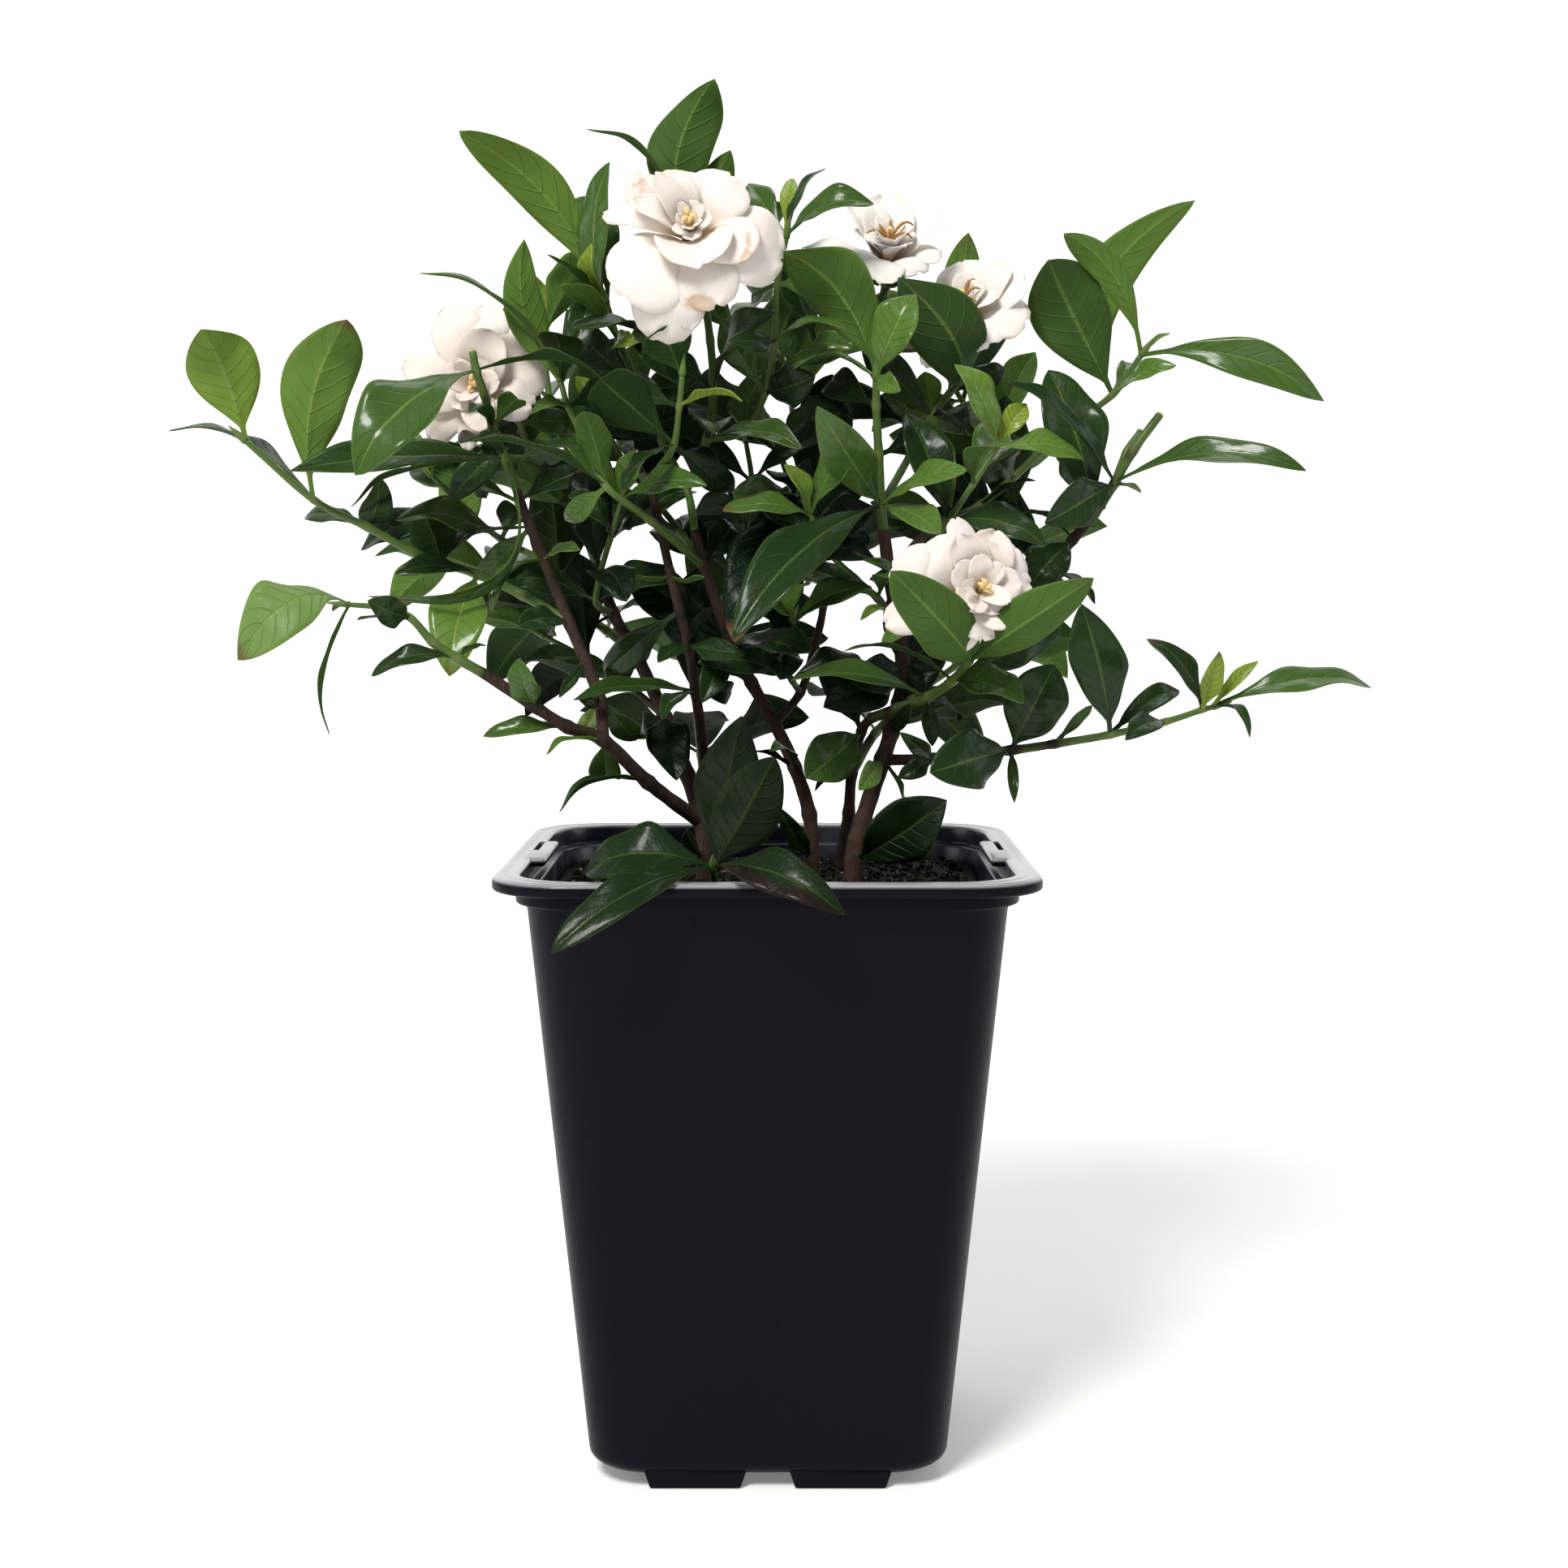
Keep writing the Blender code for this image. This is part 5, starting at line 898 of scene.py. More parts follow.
def settled_leaf(leaf, points, corners):
    """Base, tip, upward normal and side of a leaf as the frame carries it, or None if it does without it."""
    base, best, most = points[leaf.node], None, CORNERS_NEEDED - 1
    fold = math.radians(leaf.fold)
    for push, roll in LEAF_MOVES:
        tip = Vector(leaf.tip) + Vector((0, push, 0))
        if corners.find(tip)[2] > MATCH:
            continue
        along, up, side = blade_axes(base, tip, leaf.ways, roll)
        found = 0
        for t in NARROW_SECTIONS if leaf.width < NARROW else LEAF_SECTIONS:
            middle = base + along * t + (up * leaf.arch + side * leaf.sway) * 4 * t * (1 - t)
            half = max(leaf.width / 2 * frame_outline(t), 0.6)
            for way in (-1, 1):
                edge = middle + side * way * half * math.cos(fold) + up * half * math.sin(fold)
                found += corners.find(edge)[2] < MATCH
                found += corners.find(middle + up * way / 2)[2] < MATCH
        if found > most:
            best, most = (base, tip, up, side), found
    return best


def node_corners(name):
    """A search tree over the corners of one of the frame's nodes, in millimetres."""
    vertices = frame["nodes"][name].data.vertices
    corners = KDTree(len(vertices))
    for i, vertex in enumerate(vertices):
        corners.insert(vertex.co / MM, i)
    corners.balance()
    return corners


# ---------------------------------------------------------------- leaves

LEAF_ROWS = 30
LEAF_COLUMNS = 11
LEAF_VALUES = ("leaf_along", "leaf_across", "leaf_under", "leaf_tone", "leaf_chance", "leaf_dry")
# The shrub's dense core, where its leaves take painted shade: its middle and half sizes, and how many tones darker its
# leaves are
CORE_PLACE = np.array((0, 20, 285))
CORE_SIZE = np.array((110, 60, 100))
CORE_DARKENING = 1.3


def shade(place):
    """1 in the middle of the shrub and 0 outside its dense core: the share of painted shade a leaf takes."""
    share = (place - CORE_PLACE) / CORE_SIZE
    return float(smooth(1 - share.dot(share), 0.0, 0.5))


def add_leaf(surface, placed, leaf, look, chance):
    """A leaf with a round stalk, a keeled midrib, a blade that swells between its veins and a wavy edge."""
    base, tip, up, side = (np.array(item) for item in placed)
    along = tip - base
    reach = float(np.linalg.norm(along))
    rows = np.linspace(0, 1, LEAF_ROWS + 1)
    rows = rows - 0.018 * np.sin(2 * np.pi * rows)
    columns = np.linspace(-1, 1, LEAF_COLUMNS)
    t, s = np.meshgrid(rows, np.sign(columns) * np.abs(columns) ** 1.2, indexing="ij")
    stalk = 1 - smooth(t, 0.04, 0.22)
    u = np.clip((t - 0.07) / 0.93, 0, 1)
    shoulder = chance.uniform(1.0, 1.3)
    blunt = chance.uniform(0.5, 0.74)
    power = 1.0 + (blunt - 1.0) * smooth(u, 0.25, 0.75)
    blade = leaf.width / 2 * np.clip(np.sin(np.pi * u**shoulder), 0, 1) ** power * (1 - 0.4 * u**18)
    phase, shift, pace = chance.random() * 6.28, chance.uniform(0.6, 2.6), chance.uniform(8, 13)
    ripple = np.sin(t * pace + phase + np.where(s > 0, shift, 0)) * smooth(t, 0.1, 0.3)
    half = np.maximum(blade * (1 + 0.05 * ripple), 0.75 * (1 - smooth(t, 0.1, 0.5)) + 0.14)
    half[-1] = 0.12
    ray = vein_ray(t, np.abs(s), look.vein_pairs)
    swell = np.abs(np.sin(np.pi * ray)) ** 0.7 * np.abs(s) ** 0.6 * (1 - s * s) * look.quilting / MM
    sway = leaf.sway + chance.uniform(-0.02, 0.025) * reach
    bend = -chance.uniform(0.0, 0.09) * reach * smooth(t, 0.7, 1.0) ** 2
    lift = leaf.arch * 4 * t * (1 - t) + bend
    twist = chance.uniform(-0.7, 0.7) * (t - 0.35) * smooth(t, 0.05, 0.3)
    fold = math.radians(leaf.fold + chance.uniform(-3, 9))
    rise = np.sin(fold) * half * (0.4 * np.abs(s) + 0.6 * s * s) + swell * np.minimum(blade / 6, 1)
    rise += 0.16 * blade * ripple * s * s + 0.02 * blade * np.sin(t * 21 + 3 * s + phase)
    spread = s * half * math.cos(fold)
    round_stalk = np.sqrt(np.clip(1 - s * s, 0.04, 1)) * (0.8 - 0.3 * t)
    thick = look.thickness / MM * (1 - 0.45 * s * s) * (1 - stalk) + round_stalk * stalk
    keel = np.exp(-((s * half / 0.7) ** 2)) * (0.75 * (1 - t) + 0.12) * (1 - stalk)
    groove = np.exp(-((s * half / 0.6) ** 2)) * 0.18 * (1 - stalk)

    def place(height):
        height = rise + height
        over = lift + height * np.cos(twist) + spread * np.sin(twist)
        aside = sway * 4 * t * (1 - t) + spread * np.cos(twist) - height * np.sin(twist)
        return base + along * t[..., None] + up * over[..., None] + side * aside[..., None]

    surface.add_sheet(
        place(thick / 2 - groove), place(-thick / 2 - keel), along=t, across=s,
        tone=leaf.tone + chance.uniform(-0.25, 0.2) - CORE_DARKENING * shade(base + along / 2),
        chance=chance.random(), dry=leaf.dry,
    )


class GARDENIA_OT_leaves(bpy.types.Operator):
    """Builds the leaves of every shoot where the frame carries them"""

    bl_idname = "gardenia.leaves"
    bl_label = "Leaves"

    def execute(self, context):
        look = context.scene.gardenia_leaf
        material = leaf_material(look)
        shoots = all_shoots()
        for shoot in shoots.values():
            points, corners = shoot_points(shoot, shoots), node_corners(shoot.name)
            surface = Surface(*LEAF_VALUES)
            for i, leaf in enumerate(shoot.leaves):
                placed = settled_leaf(leaf, points, corners)
                if (shoot.name, i) in BENT:
                    tip_y, arch = BENT[shoot.name, i]
                    leaf = leaf._replace(arch=arch)
                    base, tip = points[leaf.node], Vector((leaf.tip[0], tip_y, leaf.tip[2]))
                    placed = (base, tip, *blade_axes(base, tip, leaf.ways, 0)[1:])
                if placed:
                    add_leaf(surface, placed, leaf, look, random.Random(f"{shoot.name} {i}"))
            if surface.count:
                stand_in(surface.make(f"leaves_{shoot.name}", material), "leaf", shoot.name)
        return {"FINISHED"}


# ---------------------------------------------------------------- stems

STEM_VALUES = ("stem_age", "stem_node", "stem_height")
PRUNED = ("stub_left", "stub_right_short", "branch_right_up")


def has_end_bud(shoot, shoots):
    """A shoot that ends in neither a flower nor a cut nor another shoot ends in a bud."""
    last = len(shoot.path) - (0 if shoot.parent else 1)
    followed = any(other.parent == shoot.name and other.joint == last for other in shoots.values())
    flowered = any(flower.parent == shoot.name for flower in FLOWERS)
    return not followed and not flowered and shoot.name not in PRUNED and shoot.bark < 0.95


def add_stem(surface, shoot, points, look, chance):
    """A tapering stem that swells where leaves stand, with a face of bare wood where it was pruned."""
    path, nodes = rounded_path(points)
    count = len(path)
    radii = np.linspace(*shoot.radii, count) * look.girth
    ring = np.zeros(count)
    for node in nodes[1:-1]:
        ring = np.maximum(ring, np.exp(-(((np.arange(count) - node) / 1.1) ** 2)))
    wobble = np.convolve([chance.uniform(-1, 1) for _ in range(count + 4)], [0.25, 0.5, 0.25], "same")[2:-2]
    radii = radii * (1 + look.swelling * ring + 0.05 * wobble)
    age = shoot.bark - (0.15 if shoot.bark == 1 else 0.6) * np.linspace(0, 1, count) ** 1.5
    height = (path[:, 2] - SOIL_EDGE) / 100
    surface.add_tube(path, radii, sides=12, stem_age=age, stem_node=ring, stem_height=height)
    if shoot.name in PRUNED:
        ahead = (path[-1] - path[-2]) / np.linalg.norm(path[-1] - path[-2])
        face = [path[-1] + ahead * radii[-1] * 0.2, path[-1] + ahead * radii[-1] * 0.5]
        surface.add_tube(face, radii[-1] * np.array((0.95, 0.8)), sides=12, stem_age=2.0)


def add_bud(surface, points, radius):
    """A pointed bud at a shoot's end."""
    tip, ahead = np.array(points[-1]), np.array((points[-1] - points[-2]).normalized())
    steps = np.linspace(0, 1, 9)
    path = tip + np.outer(steps * 7.5, ahead)
    surface.add_tube(path, radius * (1 - steps**1.6) + 0.12, sides=8, stem_age=0.0, stem_node=0.6)


class GARDENIA_OT_stems(bpy.types.Operator):
    """Builds the stems with their nodes, bark and end buds"""

    bl_idname = "gardenia.stems"
    bl_label = "Stems"

    def execute(self, context):
        look = context.scene.gardenia_stem
        material = stem_material(look)
        shoots = all_shoots()
        for shoot in shoots.values():
            surface = Surface(*STEM_VALUES)
            points = shoot_points(shoot, shoots)
            add_stem(surface, shoot, points, look, random.Random(shoot.name))
            if has_end_bud(shoot, shoots):
                add_bud(surface, points, shoot.radii[1])
            slot = "bark" if shoot.bark > 0.5 else "leaf"
            stand_in(surface.make(f"stem_{shoot.name}", material), slot, shoot.name)
        return {"FINISHED"}


# ---------------------------------------------------------------- flowers

PETAL_ROWS = 17
PETAL_COLUMNS = 13
PETAL_VALUES = ("petal_along", "petal_across", "petal_under", "petal_blush", "petal_chance", "petal_stain")


def flower_axes(flower):
    """Centre, axis, and the up and right directions of a flower seen along its axis."""
    axis = Vector(flower.axis).normalized()
    up = (WAYS["U"] - axis * axis.z).normalized()
    return np.array(flower.centre, float), np.array(axis), np.array(up), np.array(up.cross(axis))


def petal_outline(t):
    """Share of the half width along a petal: a narrow foot that widens to a round end."""
    foot = 0.10 + 0.90 * np.sin(np.pi / 2 * np.clip(t / 0.70, 0, 1)) ** 1.15
    return foot * np.sqrt(np.clip(1 - 0.94 * (np.clip(t - 0.70, 0, 1) / 0.30) ** 2.4, 0, 1))


def add_petal(surface, flower, petal, order, depth, thickness, chance):
    """A petal that leaves the throat at a depth, spreads, and rolls back at its rim. One that stands up is folded."""
    angle, reach, lift, width = petal
    centre, axis, up, right = flower_axes(flower)
    outward = up * math.cos(math.radians(angle)) + right * math.sin(math.radians(angle))
    cup = 0.1 + 0.05 * lift if lift > 2 else -0.14
    centre = centre + axis * 0.22 * order
    base = centre - axis * depth + outward * 1.2
    bend = centre - axis * min(3, depth / 2) + outward * reach * 0.3
    tip = centre + outward * reach + axis * lift
    side = np.cross(axis, outward)
    rows = np.linspace(0, 1, PETAL_ROWS) ** 0.9
    t, s = np.meshgrid(rows, np.linspace(-1, 1, PETAL_COLUMNS), indexing="ij")
    k = t[..., None]
    middle = base * (1 - k) ** 2 + bend * 2 * k * (1 - k) + tip * k**2
    tangent = (bend - base) * (1 - k) + (tip - bend) * k
    tangent /= np.linalg.norm(tangent, axis=-1)[..., None]
    normal = np.cross(tangent, side)
    normal *= np.where((normal @ (axis - outward)) < 0, -1.0, 1.0)[..., None]
    phase, roll = chance.random() * 6.28, chance.uniform(0.08, 0.24)
    edge = 1 + 0.03 * np.sin(t * 9 + phase + 2 * s)
    half = width / 2 * petal_outline(t) * edge
    raised = cup * half * s * s * (1.2 - 0.5 * t) - 0.10 * half * np.abs(s) ** 4 * smooth(t, 0.3, 0.9)
    raised = raised + 0.03 * width * np.sin(3.2 * s + phase) * t**2 + 0.012 * width * np.sin(7 * s + 2 * phase) * t**3
    raised = raised - roll * reach * smooth(t, 0.66, 1.0) ** 1.6 + 0.05 * reach * np.sin(np.pi * t)
    notch = 0.04 * reach * np.exp(-((s / 0.28) ** 2)) * smooth(t, 0.85, 1.0) * chance.uniform(0.0, 1.4)
    sheet = middle + side * (s * half)[..., None] + normal * raised[..., None] - tangent * notch[..., None]
    thick = thickness * (1 - 0.5 * np.maximum(s * s, t**3)) * (1 + 1.2 * (1 - smooth(t, 0, 0.4)))
    top = sheet + normal * (thick / 2)[..., None]
    bottom = sheet - normal * (thick / 2)[..., None]
    stain = 0.0
    if flower.name == STAIN[0]:
        flat = [((sheet - centre) @ way - at) / wide for way, at, wide in zip((right, up), STAIN[1], STAIN[2])]
        stain = np.exp(-(flat[0] ** 2 + flat[1] ** 2))
    surface.add_sheet(top, bottom, along=t, across=s, blush=flower.blush, chance=chance.random(), stain=stain)


def add_stamens(surface, flower, chance):
    """Stamens that lie outwards round a club-shaped style. Ripe ones are longer."""
    centre, axis, up, right = flower_axes(flower)
    steps = np.linspace(0, 1, 9)
    for i in range(flower.stamens):
        angle = 2 * math.pi * (i + chance.uniform(-0.3, 0.3)) / flower.stamens
        out, aside = up * math.cos(angle) + right * math.sin(angle), right * math.cos(angle) - up * math.sin(angle)
        reach, rise = chance.uniform(1.0, 3.0) + 6.0 * flower.ripe, chance.uniform(2.0, 4.5) + 1.5 * flower.ripe
        path = centre + axis * 1.0 + np.outer(steps * reach, out) + np.outer(np.sin(steps * 2.3) * rise, axis)
        path = path + np.outer(steps**2 * chance.uniform(-2.5, 2.5), aside)
        width = 0.24 + (0.6 - 0.3 * flower.ripe) * np.sin(np.pi * steps**0.8)
        surface.add_tube(path, width, sides=8, heart_ripe=flower.ripe)
    path = centre - axis * 2 + np.outer(steps * (5.5 + 2 * flower.ripe), axis + up * 0.15)
    surface.add_tube(path, 0.6 + 0.5 * smooth(steps, 0.3, 0.8) - 0.4 * smooth(steps, 0.9, 1.0), heart_style=1.0)


def add_calyx(surface, flower, start, radius):
    """The green neck under a flower, with six narrow lobes."""
    centre, axis, up, right = flower_axes(flower)
    throat = centre - axis * THROAT
    path, _ = rounded_path([start, throat, throat + axis * 6], 1.2)
    steps = np.linspace(0, 1, len(path))
    radii = radius * 1.1 + (3.1 - radius) * smooth(steps, 0.45, 0.85) - 0.6 * smooth(steps, 0.92, 1.0)
    surface.add_tube(path, radii, stem_age=0.0, stem_node=0.3)
    steps = np.linspace(0, 1, 8)
    for i in range(6):
        angle = math.radians(60 * i + 20)
        out = up * math.cos(angle) + right * math.sin(angle)
        path = throat + axis * 1.5 + out * 2.6 + np.outer(steps * 6, out) + np.outer(steps**1.4 * 5.5, axis)
        surface.add_tube(path, 0.75 * (1 - steps**2) + 0.12, sides=6, stem_age=0.0, stem_node=0.0)


class GARDENIA_OT_flowers(bpy.types.Operator):
    """Builds the five double flowers with their petals, stamens and calyxes"""

    bl_idname = "gardenia.flowers"
    bl_label = "Flowers"

    def execute(self, context):
        look = context.scene.gardenia_flower
        petals, hearts = petal_material(look), heart_material(look)
        green = bpy.data.materials.get("gardenia_stem") or stem_material(context.scene.gardenia_stem)
        shoots = all_shoots()
        for flower in FLOWERS:
            chance = random.Random(flower.name)
            surface, heart, calyx = Surface(*PETAL_VALUES), Surface("heart_style", "heart_ripe"), Surface(*STEM_VALUES)
            for i, petal in enumerate(flower.petals):
                add_petal(surface, flower, petal, i, THROAT - 2.5, look.thickness / MM, chance)
            for i, (angle, *sizes) in enumerate(HEART_PETALS):
                sizes = [size * flower.heart * chance.uniform(0.8, 1.2) for size in sizes]
                petal = (angle + chance.uniform(-14, 14), *sizes)
                add_petal(surface, flower, petal, i, 6.0, look.thickness / MM, chance)
            add_stamens(heart, flower, chance)
            parent = shoots[flower.parent]
            add_calyx(calyx, flower, shoot_points(parent, shoots)[-1], parent.radii[1])
            stand_in(surface.make(f"petals_{flower.name}", petals), "petal", flower.name)
            stand_in(heart.make(f"stamens_{flower.name}", hearts), "petal", flower.name)
            stand_in(calyx.make(f"calyx_{flower.name}", green), "leaf", flower.name)
        return {"FINISHED"}


# ---------------------------------------------------------------- pot

CORNER_STEPS = 12
SIDE_STEPS = 8


def rounded_square(half, height, bow=0.0):
    """The points of a square with round corners, anticlockwise from above. bow pulls the middles of its sides in."""
    corner = half * CORNER_SHARE
    flat = half - corner
    points = []
    for quarter in range(4):
        turn = np.array([[0, -1], [1, 0]]) if quarter % 2 else np.eye(2)
        turn = turn * (-1 if quarter > 1 else 1)
        angles = np.radians(np.linspace(0, 90, CORNER_STEPS + 1))
        arc = np.stack([flat + corner * np.cos(angles), flat + corner * np.sin(angles)], axis=1)
        run = np.linspace(flat, -flat, SIDE_STEPS + 1)[1:-1]
        side = np.stack([run, half - bow * (1 - (run / flat) ** 2)], axis=1)
        points.extend(np.concatenate([arc, side]) @ turn.T)
    points = np.array(points)
    return np.column_stack([points, np.full(len(points), height)])


def wall_half(height):
    """Half the outer width of the tapered wall at a height."""
    return BASE_HALF + (WALL_TOP_HALF - BASE_HALF) * (height - FOOT_HEIGHT) / (COLLAR_FOOT - FOOT_HEIGHT)


def arc(centre, radius, start, end, steps=5):
    """Points (half width, height) on an arc, by angles in degrees from outwards to upwards."""
    angles = np.radians(np.linspace(start, end, steps + 1))
    return [(centre[0] + radius * math.cos(a), centre[1] + radius * math.sin(a)) for a in angles]


def pot_profile():
    """Half widths, heights and bows from under the base, up the outside, over the rim and down the inside."""
    base = arc((wall_half(FOOT_HEIGHT + 6) - 6, FOOT_HEIGHT + 6), 6, -90, 0, 7)
    wall = [(wall_half(z), z) for z in np.linspace(FOOT_HEIGHT + 10, COLLAR_FOOT - 3, 14)]
    outside = [
        (30.0, FLOOR_UNDERSIDE), (46.0, FLOOR_UNDERSIDE), (49.0, FOOT_HEIGHT), *base, *wall,
        *arc((WALL_TOP_HALF + 1.0, COLLAR_FOOT - 0.9), 0.9, 180, 110, 3),
        *arc((COLLAR_HALF - 0.9, COLLAR_FOOT + 0.9), 0.9, -70, 0, 4), (COLLAR_HALF, COLLAR_TOP - 1.0),
        *arc((COLLAR_HALF + 0.9, COLLAR_TOP - 0.9), 0.9, 180, 110, 3),
        *arc((RIM_HALF - 1.2, COLLAR_TOP + 1.2), 1.2, -90, 0), *arc((RIM_HALF - 2.0, RIM_HEIGHT - 2.0), 2.0, 0, 88, 7),
    ]
    flange = [
        (RIM_HALF - 3.4, RIM_HEIGHT - 0.05), (RIM_HALF - 3.9, RIM_HEIGHT - 0.3), (RIM_HALF - 4.5, RIM_HEIGHT - 0.3),
        (RIM_HALF - 5.0, RIM_HEIGHT - 0.08), (RIM_HALF - FLANGE + 1.0, RIM_HEIGHT - 0.05),
        *arc((RIM_HALF - FLANGE + 0.8, RIM_HEIGHT - 1.3), 1.2, 100, 175),
    ]
    inner = COLLAR_HALF - WALL
    inside = [
        (inner, RIM_HEIGHT - 2.5), (inner, COLLAR_FOOT + 3.4),
        *arc((inner - 0.9, COLLAR_FOOT + 3.2), 0.9, 0, -80, 3),
        *arc((WALL_TOP_HALF - WALL + 0.9, COLLAR_FOOT + 1.6), 0.9, 100, 180, 3),
        *[(wall_half(z) - WALL, z) for z in np.linspace(COLLAR_FOOT - 3, 16, 10)],
        (wall_half(10) - WALL - 3, 8.0), (48.0, FLOOR_TOP), (24.0, FLOOR_TOP),
    ]
    return [*outside, *flange, *inside]


def bow_at(half, height):
    """Thin walls pull in a little between their corners."""
    if half > WALL_TOP_HALF + 0.2 or not FOOT_HEIGHT + 8 < height < COLLAR_FOOT:
        return 0.0
    return 0.7 * math.sin(math.pi * (height - FOOT_HEIGHT - 8) / (COLLAR_FOOT - FOOT_HEIGHT - 8))


def block(centre, size, bevel, turns=0, foot=1.0):
    """A block with round edges, turned by quarter turns about the pot's middle. foot narrows its lower side."""
    shape = bmesh.new()
    bmesh.ops.create_cube(shape, size=1.0)
    bmesh.ops.scale(shape, vec=(foot, 1, 1), verts=[v for v in shape.verts if v.co.z < 0])
    bmesh.ops.scale(shape, vec=Vector(size) * MM, verts=shape.verts)
    bmesh.ops.bevel(shape, geom=shape.edges, offset=bevel * MM, segments=3, profile=0.5, affect="EDGES")
    bmesh.ops.translate(shape, vec=Vector(centre) * MM, verts=shape.verts)
    bmesh.ops.rotate(shape, matrix=Matrix.Rotation(math.pi / 2 * turns, 3, "Z"), verts=shape.verts)
    return shape


def drain_hole(x, y):
    """A cutter for one hole through the pot's floor."""
    shape = bmesh.new()
    bmesh.ops.create_cone(
        shape, cap_ends=True, segments=24, radius1=DRAIN_RADIUS * MM, radius2=DRAIN_RADIUS * MM, depth=18 * MM,
        matrix=Matrix.Translation(Vector((x, y, FOOT_HEIGHT)) * MM),
    )
    return shape


def added_shapes():
    """The foot pads, the rim tabs and the panel under the front of the collar."""
    shapes = []
    for turns in range(4):
        # The pads at the sides stand further in than those at the front and back
        depth = (12.2 if turns % 2 else 7.2) - BASE_HALF
        shapes += [
            block((side * FOOT_PLACE, depth, FOOT_PAD[2] / 2), FOOT_PAD, 0.8, turns, FOOT_TAPER) for side in (-1, 1)
        ]
    tab = RIM_HALF - FLANGE - 1
    shapes += [block((side * tab, TAB_PLACE, RIM_HEIGHT - 1.4), (8, TAB_LENGTH, 3), 1.3) for side in (-1, 1)]
    return [*shapes, block((0, 0.2 - wall_half(PANEL_HEIGHT), PANEL_HEIGHT), PANEL, 0.4)]


def cut_shapes():
    """The slots in the tabs and the drain holes."""
    slot = RIM_HALF - FLANGE + 0.6
    slots = [block((side * slot, TAB_PLACE + SLOT[1], RIM_HEIGHT), (2, SLOT[0], 5), 0.3) for side in (-1, 1)]
    return slots + [drain_hole(x, y) for x, y in DRAIN_PLACES]


def helper_from(shapes, name):
    """One hidden object from several shapes, for a Boolean."""
    mesh = bpy.data.meshes.new(name)
    joined = bmesh.new()
    for shape in shapes:
        shape.to_mesh(mesh)
        joined.from_mesh(mesh)
        shape.free()
    joined.to_mesh(mesh)
    joined.free()
    helper = bpy.data.objects.new(name, mesh)
    bpy.context.scene.collection.objects.link(helper)
    helper.hide_render = True
    return helper


def apply_booleans(piece, steps):
    """Adds or cuts helpers one after another, and clears them away."""
    for operation, helper in steps:
        modifier = piece.modifiers.new(operation.lower(), "BOOLEAN")
        modifier.operation, modifier.object, modifier.solver = operation, helper, "EXACT"
        modifier.use_self = True
    bpy.context.view_layer.update()
    mesh = bpy.data.meshes.new_from_object(piece.evaluated_get(bpy.context.evaluated_depsgraph_get()))
    piece.modifiers.clear()
    piece.data = mesh
    for _operation, helper in steps:
        bpy.data.objects.remove(helper, do_unlink=True)


class GARDENIA_OT_pot(bpy.types.Operator):
    """Builds the moulded pot with its rolled rim, collar, tabs, feet and drain holes"""

    bl_idname = "gardenia.pot"
    bl_label = "Pot"

    def execute(self, context):
        surface = Surface()
        rings = [rounded_square(half, height, bow_at(half, height)) for half, height in pot_profile()]
        surface.add_rings(rings, [[0, 0, FLOOR_UNDERSIDE], [0, 0, FLOOR_TOP]])
        pot = surface.make("nursery_pot", plastic_material(context.scene.gardenia_pot))

        added = helper_from(added_shapes(), "pot_added")
        apply_booleans(pot, [("UNION", added), ("DIFFERENCE", helper_from(cut_shapes(), "pot_cut"))])
        pot.data.shade_smooth()
        pot.data.set_sharp_from_angle(angle=math.radians(38))
        stand_in(pot, "pot_plastic", "pot")
        return {"FINISHED"}


# ---------------------------------------------------------------- soil

def soil_height(x, y, bumps):
    """Height of the soil over a place in the pot: a low dome with clods."""
    edge = np.maximum(np.abs(x), np.abs(y)) / SOIL_HALF
    dome = SOIL_EDGE + (SOIL_CROWN - SOIL_EDGE) * np.cos(np.clip(edge, 0, 1) * np.pi / 2) ** 0.7
    rough = sum(size * np.sin(x * fx + px) * np.sin(y * fy + py) for size, fx, fy, px, py in bumps)
    return dome + rough


def soil_bumps(chance):
    """Size, wave numbers and phases of the waves that roughen the soil."""
    return [
        (size, chance.uniform(0.8, 1.2) * pace, chance.uniform(0.8, 1.2) * pace, chance.random() * 6.28,
         chance.random() * 6.28)
        for size, pace in ((0.55, 0.11), (0.45, 0.23), (0.32, 0.47), (0.22, 0.9), (0.15, 1.7)) for _ in range(2)
    ]


def ball_points():
    """Corners and faces of a small round crumb."""
    shape = bmesh.new()
    bmesh.ops.create_icosphere(shape, subdivisions=1, radius=1.0)
    shape.verts.ensure_lookup_table()
    points = np.array([v.co for v in shape.verts])
    faces = np.array([[v.index for v in face.verts] for face in shape.faces])
    shape.free()
    return points, faces


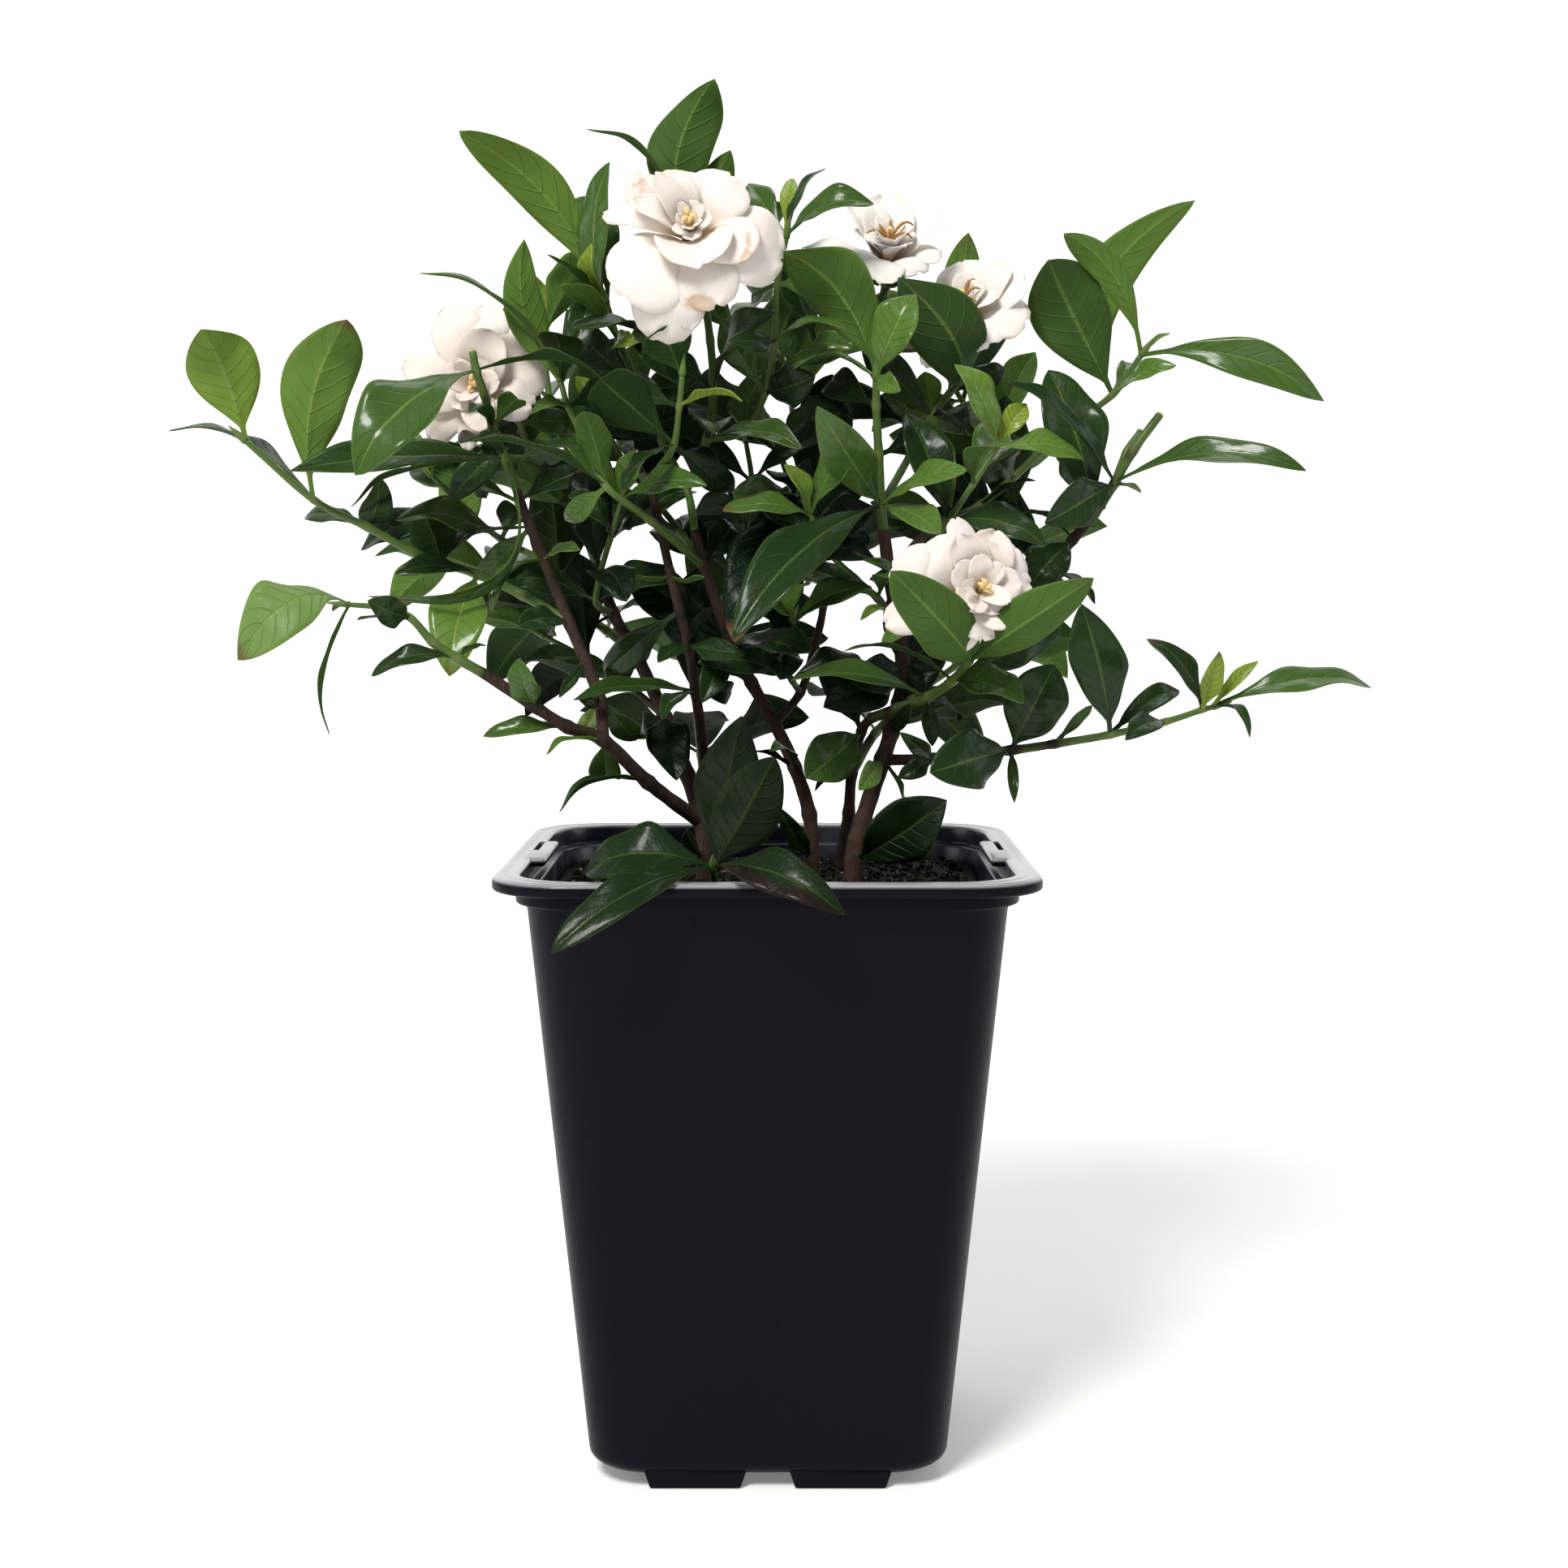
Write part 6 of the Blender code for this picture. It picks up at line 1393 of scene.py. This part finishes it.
class GARDENIA_OT_soil(bpy.types.Operator):
    """Builds the body of soil and the loose crumbs and specks on it"""

    bl_idname = "gardenia.soil"
    bl_label = "Soil"

    def execute(self, context):
        look = context.scene.gardenia_soil
        material = soil_material(look)
        dice = random.Random("soil")
        bumps = soil_bumps(dice)
        body = Surface("soil_speck", "soil_chance")
        inset = WALL + 0.3
        rings = [rounded_square(51.0, SOIL_FLOOR), rounded_square(wall_half(13) - inset - 0.6, 13.0)]
        rings += [rounded_square(wall_half(z) - inset - 0.6, z, bow_at(0, z)) for z in (60.0, 110.0, 160.0)]
        for share in np.linspace(1, 0.02, 46):
            ring = rounded_square((wall_half(SOIL_EDGE) - inset - 0.5) * share, 0.0)
            ring[:, 2] = soil_height(ring[:, 0], ring[:, 1], bumps)
            rings.append(ring)
        top = [0.0, 0.0, float(soil_height(np.zeros(1), np.zeros(1), bumps)[0])]
        body.add_rings(rings, [[0, 0, SOIL_FLOOR], top])
        stand_in(body.make("soil_body", material), "soil", "soil")

        crumbs = Surface("soil_speck", "soil_chance")
        points, faces = ball_points()
        rng = np.random.default_rng(7)
        for _ in range(look.crumbs):
            # Crumbs lie on a square with round corners
            x, y = rng.uniform(-CRUMBS_HALF, CRUMBS_HALF, 2)
            if np.hypot(*np.maximum(np.abs((x, y)) - CRUMBS_HALF + CRUMBS_CORNER, 0)) > CRUMBS_CORNER:
                continue
            speck = rng.random() < 0.08
            radius = rng.uniform(0.25, 0.55) if speck else rng.uniform(0.35, 1.25) ** 1.3
            spin = np.array(Matrix.Rotation(rng.uniform(0, 6.28), 3, Vector(rng.normal(size=3))))
            lump = points * rng.uniform(0.75, 1.25, points.shape) * rng.uniform(0.6, 1.1, 3) * radius
            place = (x, y, float(soil_height(np.array(x), np.array(y), bumps)) + radius * 0.25)
            crumbs.add(lump @ spin.T + place, [faces], soil_speck=float(speck), soil_chance=rng.random())
        stand_in(crumbs.make("soil_crumbs", material), "soil", "soil")
        return {"FINISHED"}


# ---------------------------------------------------------------- stage

def soft_box(name, place, aim, size, power, tint=(1.0, 1.0, 1.0)):
    """A round soft light that faces a point."""
    light = bpy.data.lights.new(name, "AREA")
    light.shape, light.size, light.energy, light.color = "DISK", size, power, tint
    item = bpy.data.objects.new(name, light)
    item.location = place
    item.rotation_euler = (Vector(aim) - Vector(place)).to_track_quat("-Z", "Y").to_euler()
    bpy.context.scene.collection.objects.link(item)


class GARDENIA_OT_stage(bpy.types.Operator):
    """Builds the pale floor and backdrop, the soft lights and the camera"""

    bl_idname = "gardenia.stage"
    bl_label = "Stage"

    def execute(self, context):
        look = context.scene.gardenia_stage
        # The floor, a quarter round and the wall behind it, as depth and height in metres
        steps = np.radians(np.linspace(-90, 0, 13))
        curve = [(-4.0, 0.0), *((2.2 + 1.2 * math.cos(a), 1.2 + 1.2 * math.sin(a)) for a in steps), (3.4, 5.0)]
        mesh = bpy.data.meshes.new("backdrop")
        corners = [(x, y, z) for y, z in curve for x in (-5.0, 5.0)]
        faces = [(2 * i, 2 * i + 1, 2 * i + 3, 2 * i + 2) for i in range(len(curve) - 1)]
        mesh.from_pydata(corners, [], faces)
        mesh.shade_smooth()
        mesh.materials.append(stage_material(look))
        backdrop = bpy.data.objects.new("backdrop", mesh)
        context.scene.collection.objects.link(backdrop)

        world = bpy.data.worlds.new("studio")
        world.use_nodes = True
        world.node_tree.nodes["Background"].inputs["Color"].default_value = (0.95, 0.97, 1.0, 1.0)
        world.node_tree.nodes["Background"].inputs["Strength"].default_value = 0.2
        context.scene.world = world
        middle = (0.0, 0.0, 0.25)
        soft_box("key_box", (-0.6, -1.3, 1.8), middle, 0.7, look.key, (1.0, 0.98, 0.95))
        soft_box("left_box", (-1.6, -0.2, 0.7), middle, 1.0, look.fill)
        soft_box("right_box", (1.6, -0.2, 0.7), middle, 1.0, look.fill)
        soft_box("top_box", (0.2, 0.5, 1.6), middle, 0.8, look.fill * 1.2)

        camera = bpy.data.cameras.new("camera")
        camera.lens, camera.sensor_width = look.lens, 36.0
        item = bpy.data.objects.new("camera", camera)
        item.location = (0.0053, -look.distance, look.height)
        item.rotation_euler = (math.pi / 2 - look.pitch, 0.0, 0.0)
        context.scene.collection.objects.link(item)
        context.scene.camera = item
        context.scene.view_settings.view_transform = "Standard"
        return {"FINISHED"}


# ---------------------------------------------------------------- panel and registration

LOOKS = {
    "gardenia_pot": PotLook, "gardenia_soil": SoilLook, "gardenia_stem": StemLook, "gardenia_leaf": LeafLook,
    "gardenia_flower": FlowerLook, "gardenia_stage": StageLook,
}
OPERATORS = (
    GARDENIA_OT_pot, GARDENIA_OT_soil, GARDENIA_OT_stems, GARDENIA_OT_leaves, GARDENIA_OT_flowers,
    GARDENIA_OT_stage,
)


class GARDENIA_PT_build(bpy.types.Panel):
    """Lists the steps that build the potted gardenia, each with its sizes and colours"""

    bl_label = "Potted Gardenia"
    bl_idname = "GARDENIA_PT_build"
    bl_space_type = "VIEW_3D"
    bl_region_type = "UI"
    bl_category = "Gardenia"

    def draw(self, context):
        for operator, (key, look) in zip(OPERATORS, LOOKS.items()):
            box = self.layout.box()
            box.operator(operator.bl_idname)
            for name in look.__annotations__:
                box.prop(getattr(context.scene, key), name)


def register():
    for kind in (*LOOKS.values(), *OPERATORS, GARDENIA_PT_build):
        bpy.utils.register_class(kind)
    for key, look in LOOKS.items():
        setattr(bpy.types.Scene, key, PointerProperty(type=look))


def unregister():
    for key in LOOKS:
        delattr(bpy.types.Scene, key)
    for kind in reversed((*LOOKS.values(), *OPERATORS, GARDENIA_PT_build)):
        bpy.utils.unregister_class(kind)


def main():
    register()
    bpy.ops.gardenia.pot()
    bpy.ops.gardenia.soil()
    bpy.ops.gardenia.stems()
    bpy.ops.gardenia.leaves()
    bpy.ops.gardenia.flowers()
    bpy.ops.gardenia.stage()


if __name__ == "__main__":
    main()
